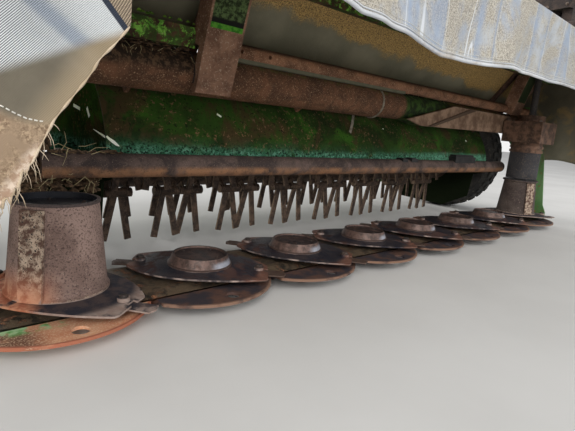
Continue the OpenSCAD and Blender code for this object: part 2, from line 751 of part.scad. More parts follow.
// Tine pairs, each an inverted V on a sleeve that turns on its pin
sleeve_half = ear_gap - ear_t / 2 - 1;
module tine_pair() {
    lean = atan2(tine_spread / 2 - 12, tine_len);
    blade = tine_len / cos(lean);
    difference() {
        union() {
            rotate([0, 90, 0]) translate([0, 0, -sleeve_half]) cylinder(r = ear_r, h = 2 * sleeve_half);
            for (s = [-1, 1]) translate([s * 12, 0, 0]) rotate([0, -s * lean, 0])
                translate([-tine_w / 2, -tine_t / 2, 3 - blade]) cube([tine_w, tine_t, blade]);
        }
        rotate([0, 90, 0]) cylinder(d = tine_pin_d + 2 * run_gap, h = 4 * ear_gap, center = true);
    }
}
module tines() {
    color(rust) place() for (row = rows, k = [0 : pairs(row)])
        at_pair(row, k) rotate([row[1], 0, 0]) tine_pair();
}

// Rear deflector hung from the hood's rear edge
deflector_pin = [hood_edge[0] + 24, hood_edge[1]];
deflector_len = 430;
deflector_half = side_x - 260;
eye_room = eye_t / 2 + move_gap;
module rear_deflector() {
    color(paint) place() translate([0, deflector_pin[0], deflector_pin[1]]) {
        along_x(-deflector_half - 12, deflector_half + 12, 0, 0, hinge_rod_r);
        difference() {
            rotate([-22, 0, 0]) translate([-deflector_half, 8, -3])
                cube([2 * deflector_half, deflector_len, 5]);
            for (x = eye_x) along_x(x - eye_room, x + eye_room, 0, 0, eye_r + move_gap);
        }
    }
}

// Swath doors hinged behind the side sheets
module swath_door() {
    translate([side_x - 16, door_y + 8, door_low]) rotate(door_angle) difference() {
        union() {
            cylinder(r = door_pin_r + 5, h = door_high);
            translate([-3, 4, 0]) cube([6, door_len - 12, door_high]);
        }
        translate([0, 0, -1]) cylinder(r = door_pin_r + run_gap, h = door_high + 2);
    }
}

// Wheel arm from its pivot to the stub axle, with the cylinder's lug
arm_x = [leg_x[0] + leg_t + move_gap, leg_x[1] - move_gap];
lift_top = [690, 925];
lift_low = [745, 552];
lift_pin_d = 28;
eye_play = 2.5;
stub_d = 60;
module wheel_arm() {
    difference() {
        union() {
            along_x(arm_x[0], arm_x[1], arm_y, arm_z, 46);
            along_x(arm_x[0], arm_x[1], wheel_y, tyre_d / 2, 52);
            side_plate(arm_x[0], arm_x[1] - arm_x[0], [
                [arm_y + 20, arm_z - 42], [wheel_y + 50, tyre_d / 2 - 14], [wheel_y - 20, tyre_d / 2 + 48],
                [lift_low[0] - 34, lift_low[1] - 36], [lift_low[0] + 44, lift_low[1] - 30],
                [arm_y - 28, arm_z + 36]]);
            for (x = [arm_x[0], arm_x[1] - 8]) side_plate(x, 8, [
                [lift_low[0] - 60, lift_low[1] - 70], [lift_low[0] + 60, lift_low[1] - 20],
                [lift_low[0] + 26, lift_low[1] + 26], [lift_low[0] - 26, lift_low[1] + 26]]);
        }
        along_x(arm_x[0] - 1, arm_x[1] + 1, arm_y, arm_z, arm_pin_d / 2 + run_gap);
        translate([arm_x[0] + 8, lift_low[0] - 60, lift_low[1] - 29])
            cube([arm_x[1] - arm_x[0] - 16, 120, 60]);
    }
    along_x(arm_x[0], arm_x[1], lift_low[0], lift_low[1], lift_pin_d / 2);
    along_x(arm_x[1] - 1, wheel_x + 60, wheel_y, tyre_d / 2, stub_d / 2);
}

// Rim with its disc and hub, and the tyre on it
module rim() {
    translate([wheel_x, wheel_y, tyre_d / 2]) rotate([0, 90, 0]) {
        rotate_extrude() polygon([
            [rim_d / 2 + 18, -95], [rim_d / 2 + 18, -88], [rim_d / 2 - 6, -82], [rim_d / 2 - 6, 82],
            [rim_d / 2 + 18, 88], [rim_d / 2 + 18, 95], [rim_d / 2 + 10, 95], [rim_d / 2 - 12, 88],
            [rim_d / 2 - 12, 26], [80, 42], [70, 30], [70, 20], [rim_d / 2 - 12, 14],
            [rim_d / 2 - 12, -88], [rim_d / 2 + 10, -95]]);
        rotate_extrude() translate([stub_d / 2 + run_gap, -55]) square([41, 130]);
        translate([0, 0, 75]) cylinder(r = 50, h = 8);
    }
}
module tyre() {
    translate([wheel_x, wheel_y, tyre_d / 2]) rotate([0, 90, 0]) rotate_extrude() polygon([
        [rim_d / 2 - 6 + run_gap, -81], [rim_d / 2 + 18 + run_gap, -87], [rim_d / 2 + 18 + run_gap, -96],
        [rim_d / 2 + 30, -112], [tyre_d / 2 - 90, -tyre_w / 2],
        [tyre_d / 2 - 35, -tyre_w / 2 + 12], [tyre_d / 2 - 6, -tyre_w / 2 + 40], [tyre_d / 2, 0],
        [tyre_d / 2 - 6, tyre_w / 2 - 40], [tyre_d / 2 - 35, tyre_w / 2 - 12],
        [tyre_d / 2 - 90, tyre_w / 2], [rim_d / 2 + 30, 112], [rim_d / 2 + 18 + run_gap, 96],
        [rim_d / 2 + 18 + run_gap, 87], [rim_d / 2 - 6 + run_gap, 81]]);
}

// Lift cylinders between the carrier frame and the wheel arms
cyl_x = (arm_x[0] + arm_x[1]) / 2;
lift_tilt = atan2(lift_top[0] - lift_low[0], lift_top[1] - lift_low[1]);
lift_len = norm(lift_top - lift_low);
module lift_barrel(side) {
    place() translate([side * cyl_x, lift_top[0], lift_top[1]]) rotate([-lift_tilt, 0, 0]) difference() {
        union() {
            translate([0, 0, -250]) cylinder(r = 22, h = 232);
            rotate([0, 90, 0]) translate([0, 0, -14]) cylinder(r = 24, h = 28);
        }
        rotate([0, 90, 0]) cylinder(d = lift_pin_d + 2 * run_gap, h = 60, center = true);
        translate([0, 0, -251]) cylinder(r = 12.3, h = 215);
    }
}
module lift_rod(side) {
    place() translate([side * cyl_x, lift_low[0], lift_low[1]]) rotate([-lift_tilt, 0, 0]) difference() {
        union() {
            translate([0, 0, 22]) cylinder(r = 12, h = lift_len - 170);
            rotate([0, 90, 0]) translate([0, 0, -12]) cylinder(r = 27, h = 24);
        }
        rotate([0, 90, 0]) cylinder(d = lift_pin_d + 2 * eye_play, h = 60, center = true);
    }
}

// Places a drawbar piece: its own +X is sideways, -Y runs forward along the drawbar
module on_drawbar() {
    place() translate([row_half, 0, 0]) rotate(-draw_angle) children();
}

// Drawbar: hub on the pivot, level run over the canopy, slope to the hitch
knee_y = 800;
foot_y = draw_len - 550;
module drawbar() {
    color(paint) on_drawbar() difference() {
        union() {
            translate([0, 0, draw_z - 85]) cylinder(r = 90, h = 170);
            translate([-draw_w / 2, 0, 0]) rotate([90, 0, 90]) linear_extrude(draw_w) polygon([
                [0, draw_z - draw_h / 2], [0, draw_z + draw_h / 2], [-knee_y, draw_z + draw_h / 2],
                [-foot_y, hitch_z + 130], [-draw_len + 180, hitch_z + 60], [-draw_len + 180, hitch_z - 60],
                [-foot_y, hitch_z - 10], [-knee_y + 30, draw_z - draw_h / 2]]);
        }
        translate([0, 0, draw_z - 100]) cylinder(d = pivot_d + 2 * run_gap, h = 200);
    }
    color(paint) on_drawbar() {
        for (z = [swing_z - 42, swing_z + 29]) {
            translate([swing_lug[0], swing_lug[1], z]) cylinder(r = 32, h = 13);
            translate([swing_lug[0], swing_lug[1] - 32, z]) cube([-draw_w / 2 - swing_lug[0] + 2, 64, 13]);
        }
        translate([swing_lug[0], swing_lug[1], swing_z - 40]) cylinder(d = swing_pin_d, h = 80);
    }
}

// Hitch clevis with its eye
module hitch() {
    color(dark) on_drawbar() difference() {
        union() {
            for (z = [hitch_z - 50, hitch_z + 26]) {
                translate([-50, -draw_len + 60, z]) cube([100, 119, 24]);
                translate([0, -draw_len + 50, z]) cylinder(r = 50, h = 24);
            }
            translate([-50, -draw_len + 155, hitch_z - 50]) cube([100, 24.5, 100]);
        }
        translate([0, -draw_len + 50, hitch_z - 60]) cylinder(d = hitch_d, h = 120);
    }
}

// Swivel gear case on top of the pivot
swivel_z = draw_z + 160;
swivel_front = 165;
swivel_boss = 20;
swivel_axis = 95;
module swivel_gearbox() {
    color(dark) on_drawbar() {
        translate([0, 0, draw_z + 125 + run_gap]) cylinder(r = 70, h = 40);
        translate([-95, -swivel_front, swivel_z]) cube([190, swivel_front + 110, 170]);
        translate([-60, -swivel_front, draw_z + draw_h / 2 + run_gap]) cube([120, 60, 100]);
        translate([0, -swivel_front, swivel_z + swivel_axis]) rotate([90, 0, 0])
            cylinder(r = 45, h = swivel_boss);
    }
}

// Drive shaft from the swivel gear case to the front of the drawbar, inside its guard
pto_r = 18;
pto_seat = 3.3;
pto_rear = [-swivel_front - swivel_boss - pto_seat, swivel_z + swivel_axis];
pto_front = [-draw_len + 340, 850];
pto_tilt = atan2(pto_rear[1] - pto_front[1], pto_rear[0] - pto_front[0]);
pto_len = norm(pto_rear - pto_front);
module pto_axis() {
    translate([0, pto_front[0], pto_front[1]]) rotate([-90 + pto_tilt, 0, 0]) children();
}
module pto_shaft() {
    color(dark) on_drawbar() pto_axis() {
        cylinder(r = pto_r, h = pto_len);
        translate([0, 0, -60]) cylinder(r = 26, h = 70);
        translate([0, 0, -95]) cylinder(r = 17.4, h = 40);
    }
}
module pto_guard() {
    color("goldenrod") on_drawbar() pto_axis() difference() {
        union() {
            translate([0, 0, 40]) cylinder(r = 30, h = pto_len - 80);
            translate([0, 0, 22]) cylinder(r = 46, h = 40);
        }
        translate([0, 0, -1]) cylinder(r = pto_r + move_gap, h = pto_len);
    }
    color(paint) on_drawbar() difference() {
        side_plate(-20, 40, [
            [pto_post_y - 30, nose_top(pto_post_y - 30) + run_gap],
            [pto_post_y + 30, nose_top(pto_post_y + 30) + run_gap],
            [pto_post_y + 24, pto_front[1]], [pto_post_y - 24, pto_front[1]]]);
        pto_axis() cylinder(r = 30 + run_gap, h = pto_len);
    }
}
// Height of the drawbar's top on its front stretch
function nose_top(y) = hitch_z + 130 + (y + foot_y) * 70 / (draw_len - 180 - foot_y);
pto_post_y = -draw_len + 450;

// Jack on the side of the drawbar
jack_y = -draw_len + 950;
jack_x = draw_w / 2 + 50;
module jack_tube() {
    color(paint) on_drawbar() translate([jack_x, jack_y, 0]) difference() {
        union() {
            translate([-36, -36, 260]) cube([72, 72, 640]);
            translate([-50 + run_gap, -50, 560]) cube([20, 100, 120]);
        }
        translate([-30.3, -30.3, 250]) cube([60.6, 60.6, 630]);
    }
}
module jack_leg() {
    color(dark) on_drawbar() translate([jack_x, jack_y, 0]) {
        translate([-30, -30, 8]) cube([60, 60, 560]);
        translate([-110, -110, 0]) cube([220, 220, 8]);
    }
}

// Swing cylinder between the carrier frame and the drawbar
swing_frame = [row_half - 420, 300];
swing_lug = [-draw_w / 2 - 44, -620];
swing_bar = [
    row_half + swing_lug[0] * cos(draw_angle) + swing_lug[1] * sin(draw_angle),
    -swing_lug[0] * sin(draw_angle) + swing_lug[1] * cos(draw_angle)];
swing_z = draw_z;
swing_pin_d = 30;
swing_play = 7.5;
swing_dir = atan2(swing_bar[1] - swing_frame[1], swing_bar[0] - swing_frame[0]);
swing_len = norm(swing_bar - swing_frame);
module swing_barrel() {
    color(dark) place() translate([swing_frame[0], swing_frame[1], swing_z]) rotate(swing_dir) {
        difference() {
            union() {
                translate([42, 0, 0]) rotate([0, 90, 0]) cylinder(r = 38, h = 518);
                translate([0, -20, -26]) cube([50, 40, 52]);
                translate([0, 0, -30]) cylinder(r = 34, h = 60);
            }
            translate([0, 0, -50]) cylinder(d = swing_pin_d + 2 * run_gap, h = 100);
            translate([60, 0, 0]) rotate([0, 90, 0]) cylinder(r = 20.3, h = 560);
        }
    }
}
module swing_rod() {
    color("silver") place() translate([swing_frame[0], swing_frame[1], swing_z]) rotate(swing_dir) {
        difference() {
            union() {
                translate([300, 0, 0]) rotate([0, 90, 0]) cylinder(r = 20, h = swing_len - 320);
                translate([swing_len, 0, -28]) cylinder(r = 36, h = 56);
            }
            translate([swing_len, 0, -50]) cylinder(d = swing_pin_d + 2 * swing_play, h = 100);
        }
    }
}

module mirrored_right() {
    place() mirror([1, 0, 0]) children();
}

cutterbar();
stone_guards();
header_beam();
header_ends();
lip_tube();
hood();
hood_sides();
beam_brackets();
curtain_tube();
canopy_frame();
canopy_rafters();
canopy_top();
front_curtain();
side_curtains();
drive_gearbox();
rotor_drive_guard();
main_frame();
frame_legs();
disc(1);  // disc_1
disc(2);  // disc_2
disc(3);  // disc_3
disc(4);  // disc_4
disc(5);  // disc_5
disc(6);  // disc_6
disc(7);  // disc_7
disc(8);  // disc_8
rotor();
tines();
rear_deflector();
color(paint) place() swath_door();  // swath_door_left
color(paint) mirrored_right() swath_door();  // swath_door_right
color(paint) place() wheel_arm();  // wheel_arm_left
color(paint) mirrored_right() wheel_arm();  // wheel_arm_right
color("khaki") place() rim();  // rim_left
color("khaki") mirrored_right() rim();  // rim_right
color("black") place() tyre();  // tyre_left
color("black") mirrored_right() tyre();  // tyre_right
color(dark) lift_barrel(1);  // lift_barrel_left
color(dark) lift_barrel(-1);  // lift_barrel_right
color("silver") lift_rod(1);  // lift_rod_left
color("silver") lift_rod(-1);  // lift_rod_right
drawbar();
hitch();
swivel_gearbox();
pto_shaft();
pto_guard();
jack_tube();
jack_leg();
swing_barrel();
swing_rod();
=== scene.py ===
import json
import math
import random

import bpy
import numpy as np
from mathutils import Matrix, Vector


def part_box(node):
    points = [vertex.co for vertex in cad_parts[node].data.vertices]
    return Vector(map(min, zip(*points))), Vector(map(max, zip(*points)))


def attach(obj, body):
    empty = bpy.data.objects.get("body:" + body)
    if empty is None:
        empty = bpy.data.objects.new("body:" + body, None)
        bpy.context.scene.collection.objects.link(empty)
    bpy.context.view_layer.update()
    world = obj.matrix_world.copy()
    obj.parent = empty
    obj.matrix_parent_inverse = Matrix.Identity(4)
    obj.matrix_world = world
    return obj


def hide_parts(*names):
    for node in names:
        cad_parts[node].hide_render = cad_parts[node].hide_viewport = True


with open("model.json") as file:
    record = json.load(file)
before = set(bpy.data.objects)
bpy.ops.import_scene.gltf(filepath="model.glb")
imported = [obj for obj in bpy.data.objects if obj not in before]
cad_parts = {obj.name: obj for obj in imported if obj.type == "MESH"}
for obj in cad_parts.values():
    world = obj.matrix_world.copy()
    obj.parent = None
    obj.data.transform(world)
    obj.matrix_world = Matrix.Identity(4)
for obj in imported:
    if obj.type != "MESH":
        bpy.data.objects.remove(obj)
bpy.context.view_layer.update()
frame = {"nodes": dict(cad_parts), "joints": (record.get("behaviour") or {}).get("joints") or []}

# Places taken from the frame, in metres
NODES = frame["nodes"]
JOINTS = {j["name"]: j for j in frame["joints"]}
DISCS = 8
DISC_AT = [Vector(JOINTS[f"disc_{i + 1}_spin"]["pos_m"]) for i in range(DISCS)]
ROW_Y = DISC_AT[0].y
PLATE_Z = DISC_AT[0].z
PIVOT_AT = Vector(JOINTS["drawbar_swing"]["pos_m"])
LIP_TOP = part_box("lip_tube")[1].z
BEAM_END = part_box("header_beam")[1].x
CURTAIN_LOW, CURTAIN_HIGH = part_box("front_curtain")
ROOF_LOW, ROOF_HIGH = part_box("canopy_top")
SIDES_LOW, SIDES_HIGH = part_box("side_curtains")

# Places as modelled; y counts from the disc row, z from the ground
IDLE_DRUM_TOP, DRIVE_DRUM_TOP = 0.3, 0.297
DISC_TURN = [-52 if i % 2 == 0 else 142 for i in range(DISCS)]  # degrees about z
BEAM_Y, BEAM_Z = 0.205, 0.651  # axis of the main beam
HOOD_Y, HOOD_Z, HOOD_R = 0.508, 0.345, 0.346  # axis of the hood and radius of its face
SIDE_SHEET_X = -1.2137  # outer face of the conditioner's side sheet
BRACKET_X = (-0.898, 1.375)
GEAR_X = 1.4  # upright axis of the drive gear case
DRAW_ANGLE = math.radians(12)
DRAWBAR_Z, DRAWBAR_BEND, DRAWBAR_SLOPE = 1.145, -0.8, 0.238  # it falls by the slope beyond the bend

UP = (0, 0, 1)


class Mat:
    """A node material whose patterns follow the object's own coordinates in metres."""

    def __init__(self, name, rough, metal=0.0, sheen=0.0, specular=0.25):
        self.material = bpy.data.materials.new(name)
        self.material.use_nodes = True
        self.tree = self.material.node_tree
        self.shader = self.tree.nodes["Principled BSDF"]
        self.shader.inputs["Roughness"].default_value = rough
        self.shader.inputs["Metallic"].default_value = metal
        self.shader.inputs["Sheen Weight"].default_value = sheen
        self.shader.inputs["Specular IOR Level"].default_value = specular
        coords = self.tree.nodes.new("ShaderNodeTexCoord")
        self.at = coords.outputs["Object"]
        self.normal = coords.outputs["Normal"]
        self.bumped = None

    def node(self, kind, inputs, **settings):
        n = self.tree.nodes.new(kind)
        for key, value in settings.items():
            setattr(n, key, value)
        for key, value in inputs.items():
            self.put(n.inputs[key], value)
        return n

    def put(self, socket, value):
        if isinstance(value, bpy.types.NodeSocket):
            self.tree.links.new(value, socket)
        elif socket.type == "RGBA" and len(value) == 3:
            socket.default_value = (*value, 1.0)
        else:
            socket.default_value = value

    def axis(self, which, source=None):
        split = self.node("ShaderNodeSeparateXYZ", {0: source or self.at})
        return split.outputs["XYZ".index(which)]

    def facing(self, which):
        return self.axis(which, self.normal)

    def stretched(self, scale, turn=(0, 0, 0)):
        n = self.node("ShaderNodeMapping", {"Vector": self.at, "Scale": scale, "Rotation": turn})
        return n.outputs[0]

    def slanted(self, degrees):
        return self.stretched((1, 1, 1), (0, math.radians(degrees), 0))

    def vector(self, operation, a, b=(0, 0, 0)):
        return self.node("ShaderNodeVectorMath", {0: a, 1: b}, operation=operation)

    def noise(self, scale, detail=4, rough=0.55, at=None, warp=0.0):
        n = self.node("ShaderNodeTexNoise", {"Vector": at or self.at, "Scale": scale, "Detail": detail,
                                             "Roughness": rough, "Distortion": warp})
        return n.outputs["Fac"]

    def bands(self, scale, at, warp):
        """Fine parallel ribs across x."""
        inputs = {"Vector": at, "Scale": scale, "Distortion": warp, "Detail Scale": 2.0}
        return self.node("ShaderNodeTexWave", inputs).outputs["Fac"]

    def step(self, value, low, high):
        """0 at low, 1 at high, eased between; low may be the larger."""
        n = self.node("ShaderNodeMapRange", {0: value, 1: low, 2: high}, interpolation_type="SMOOTHSTEP")
        return n.outputs[0]

    def blot(self, low, high, *noise, **more):
        """Patches: a noise stepped between low and high."""
        return self.step(self.noise(*noise, **more), low, high)

    def calc(self, operation, a, b=0.0):
        return self.node("ShaderNodeMath", {0: a, 1: b}, operation=operation).outputs[0]

    def by(self, a, b):
        return self.calc("MULTIPLY", a, b)

    def plus(self, a, b):
        return self.calc("ADD", a, b)

    def near(self, value, middle, outer, inner):
        """1 within `inner` of the middle, 0 beyond `outer`."""
        return self.step(self.calc("ABSOLUTE", self.plus(value, -middle)), outer, inner)

    def mix(self, fac, a, b, amount=None):
        """Colour b over colour a where fac is 1, thinned by amount."""
        fac = fac if amount is None else self.by(fac, amount)
        return self.node("ShaderNodeMix", {0: fac, 6: a, 7: b}, data_type="RGBA").outputs[2]

    def bump(self, height, depth, strength):
        inputs = {"Height": height, "Distance": depth, "Strength": strength}
        if self.bumped is not None:
            inputs["Normal"] = self.bumped
        self.bumped = self.node("ShaderNodeBump", inputs).outputs[0]

    def finish(self, colour, rough=None):
        self.put(self.shader.inputs["Base Color"], colour)
        if rough is not None:
            self.put(self.shader.inputs["Roughness"], rough)
        if self.bumped is not None:
            self.put(self.shader.inputs["Normal"], self.bumped)
        return self.material

    def radius_from(self, centre):
        """Distance from an upright axis through centre."""
        off = self.vector("ADD", self.at, (-centre[0], -centre[1], 0))
        flat = self.vector("MULTIPLY", off.outputs[0], (1, 1, 0))
        return self.vector("LENGTH", flat.outputs[0]).outputs["Value"]


def rust(name, dark, body, light, coarse, under=None, turn=(), rough=0.85, shine=0.0, edge=None):
    """Rusty steel: broad stains, pitting and pale specks.

    `under` tints faces that look down, between the two normals of `turn`; `edge` those that face -x.
    """
    speck = 320
    m = Mat(name, rough=rough, metal=shine)
    colour = m.mix(m.blot(0.38, 0.66, coarse, 6, 0.65, warp=0.6), dark, body)
    # Faces that look down take the `under` colour; on the lip tube this is rust painted lighter than the top,
    # painted light from below.
    if under:
        down = m.step(m.facing("Z"), *turn)
        colour = m.mix(m.by(down, m.blot(0.3, 0.6, coarse * 1.7, 5)), colour, under)
    pits = m.noise(speck, 3, 0.7)
    if edge:
        worn = m.by(m.step(m.facing("X"), -0.6, -0.85), m.blot(0.3, 0.55, 40, 4))
        colour = m.mix(worn, colour, edge)
    colour = m.mix(m.step(pits, 0.58, 0.7), colour, light, 0.7)
    colour = m.mix(m.blot(0.56, 0.68, speck * 0.55, 3, 0.7), colour, dark, 0.75)
    m.bump(pits, 0.0016, 0.7)
    m.bump(m.noise(coarse * 5, 5, 0.6), 0.003, 0.5)
    return m.finish(colour, m.plus(rough - 0.12, m.by(pits, 0.22)))


def paint(name, fresh, pale, grime, chips=0.62, moss=None, moss_low=0.5, specular=0.25):
    """Old paint: faded patches, rust where it has flaked, grime that runs down, moss on top."""
    m = Mat(name, rough=0.6, specular=specular)
    colour = m.mix(m.blot(0.35, 0.7, 5, 5, 0.6), fresh, pale)
    streaks = m.noise(9, 5, 0.6, at=m.stretched((2.2, 2.2, 0.35)))
    colour = m.mix(m.step(streaks, 0.5, 0.72), colour, grime, 0.75)
    flakes = m.noise(22, 8, 0.72, warp=0.4)
    flaked = m.step(flakes, chips, chips + 0.02)
    ring = m.step(flakes, chips - 0.05, chips)
    colour = m.mix(ring, colour, (0.17, 0.075, 0.035), 0.5)
    rusty = m.mix(m.blot(0.4, 0.6, 160, 3), (0.1, 0.045, 0.03), (0.26, 0.115, 0.055))
    colour = m.mix(flaked, colour, rusty)
    if moss:
        up = m.step(m.facing("Z"), 0.3, 0.9)
        grown = m.by(up, m.blot(moss_low, moss_low + 0.08, 30, 6, 0.7))
        colour = m.mix(grown, colour, moss)
    colour = m.mix(m.blot(0.55, 0.75, 340, 2), colour, (0.32, 0.26, 0.17), 0.3)
    m.bump(m.by(flaked, -1.0), 0.0008, 0.8)
    m.bump(m.noise(260, 3), 0.0006, 0.6)
    return m.finish(colour, m.plus(0.45, m.by(m.calc("MAXIMUM", flaked, ring), 0.4)))


def hood_material(name, specular, shade=0.0):
    """Inside and outside of the hood: dark moss green, brown crop dirt, a teal band over the lip tube,
    near-black painted shade below the tube's top; `shade` adds broad patches of painted shade.
    """
    m = Mat(name, rough=0.85, specular=specular)
    colour = m.mix(m.blot(0.35, 0.65, 4.5, 5, 0.6, warp=0.5), (0.014, 0.026, 0.006), (0.03, 0.075, 0.01))
    fresh = m.blot(0.56, 0.68, 6.5, 5, 0.65, warp=0.4, at=m.stretched((0.7, 1, 1)))
    colour = m.mix(fresh, colour, (0.04, 0.125, 0.012), 0.8)
    brown = m.blot(0.5, 0.62, 7, 7, 0.7, warp=0.8)
    colour = m.mix(brown, colour, (0.06, 0.036, 0.016), 0.85)
    crumbs = m.by(m.blot(0.57, 0.62, 70, 6, 0.75), m.blot(0.44, 0.56, 5, 4, 0.6))
    colour = m.mix(crumbs, colour, (0.19, 0.105, 0.055))
    colour = m.mix(m.blot(0.58, 0.64, 95, 4, 0.7), colour, (0.01, 0.009, 0.006), 0.9)
    level = m.calc("SUBTRACT", m.axis("Z"), m.by(m.noise(6, 4), 0.03))
    band = m.by(m.step(level, LIP_TOP + 0.055, LIP_TOP - 0.02), m.blot(0.3, 0.6, 11, 4))
    colour = m.mix(band, colour, (0.036, 0.125, 0.056), 0.75)
    far = m.step(m.axis("X"), 0.0, 1.0)
    bright = m.step(m.calc("SUBTRACT", level, m.by(far, 0.018)), LIP_TOP + 0.02, LIP_TOP - 0.01)
    teal = m.mix(m.blot(0.45, 0.62, 60, 4, 0.7), (0.035, 0.13, 0.075), (0.135, 0.33, 0.225))
    teal = m.mix(far, teal, (0.16, 0.42, 0.27), 0.55)
    colour = m.mix(m.by(bright, m.blot(0.3, 0.5, 14, 4)), colour, teal)
    near = m.step(level, LIP_TOP + 0.05, LIP_TOP - 0.01)
    colour = m.mix(m.by(near, m.blot(0.52, 0.58, 130, 3, 0.7)), colour, (0.008, 0.012, 0.008))
    # Near-black below the lip tube's top: painted shade under the tube.
    colour = m.mix(m.step(m.axis("Z"), LIP_TOP - 0.035, LIP_TOP - 0.055), colour, (0.01, 0.017, 0.008))
    # Broad darker patches: painted shade.
    if shade:
        colour = m.mix(m.blot(0.2, 0.5, 3, 3), colour, (0.01, 0.011, 0.006), shade)
    m.bump(m.noise(60, 6, 0.75), 0.006, 0.8)
    m.bump(m.noise(300, 3), 0.0012, 0.6)
    return m.finish(colour)


def disc_material(index, centre):
    """Disc with its hat: blue-black plate, brown blunt tips, worn edges, a painted highlight on the
    front-right of the hat.
    """
    m = Mat(f"disc_steel_{index + 1}", rough=0.6, metal=0.2)
    shift = index * 1.7
    moved = m.vector("ADD", m.at, (shift, -shift, shift)).outputs[0]
    height, facing_up, radius = m.axis("Z"), m.facing("Z"), m.radius_from(centre)
    plate = m.mix(m.blot(0.4, 0.62, 24, 5, 0.6, at=moved), (0.014, 0.016, 0.026), (0.04, 0.034, 0.038))
    stained = m.blot(0.53, 0.62, 10, 6, 0.65, at=moved, warp=0.6)
    plate = m.mix(stained, plate, (0.095, 0.042, 0.03), 0.6)
    tip = m.step(m.plus(radius, m.by(m.noise(30, 4, at=moved), 0.03)), 0.19, 0.215)
    brown = m.mix(m.noise(45, 4, at=moved), (0.1, 0.042, 0.03), (0.26, 0.125, 0.085))
    plate = m.mix(tip, plate, brown, 0.85)
    upright = m.step(m.calc("ABSOLUTE", facing_up), 0.75, 0.4)
    edge = m.by(upright, m.blot(0.42, 0.68, 26, 4, at=moved))
    plate = m.mix(m.by(edge, m.step(height, PLATE_Z - 0.012, PLATE_Z - 0.01)), plate, (0.4, 0.31, 0.27))
    knife = m.step(height, PLATE_Z - 0.0125, PLATE_Z - 0.0135)
    plate = m.mix(knife, plate, m.mix(m.noise(40, 4, at=moved), (0.05, 0.03, 0.024), (0.12, 0.08, 0.062)))
    side = m.by(m.step(facing_up, 0.62, 0.45), m.step(height, PLATE_Z + 0.003, PLATE_Z + 0.006))
    hat = m.mix(m.blot(0.38, 0.6, 50, 5, 0.7, at=moved), (0.055, 0.036, 0.03), (0.13, 0.08, 0.066))
    # A paler, bluer patch on the front-right of each hat, the same side for all: a painted highlight.
    off = m.vector("ADD", m.at, tuple(-c for c in centre)).outputs[0]
    lean = m.vector("DOT_PRODUCT", off, (0.9, -0.43, 0)).outputs["Value"]
    patch = m.by(m.step(lean, 0.02, 0.055), m.step(height, PLATE_Z + 0.025, PLATE_Z + 0.013))
    patch = m.by(patch, m.blot(0.34, 0.5, 22, 5, 0.7, at=moved))
    hat = m.mix(patch, hat, m.mix(m.noise(90, 4, 0.7, at=moved), (0.2, 0.2, 0.23), (0.42, 0.44, 0.5)))
    lid = m.by(m.step(height, PLATE_Z + 0.022, PLATE_Z + 0.026), m.step(facing_up, 0.6, 0.8))
    head = m.step(height, PLATE_Z + 0.0002, PLATE_Z + 0.0008)
    plate = m.mix(head, plate, (0.07, 0.045, 0.038))
    colour = m.mix(side, plate, hat)
    top = m.mix(m.blot(0.4, 0.65, 40, 5, at=moved), (0.024, 0.02, 0.022), (0.085, 0.052, 0.043))
    colour = m.mix(lid, colour, top)
    colour = m.mix(m.blot(0.58, 0.7, 380, 3), colour, (0.26, 0.2, 0.17), 0.45)
    m.bump(m.noise(380, 3, 0.7), 0.0008, 0.7)
    m.bump(m.noise(45, 5, at=moved), 0.002, 0.5)
    return m.finish(colour, m.plus(0.42, m.by(stained, 0.35)))


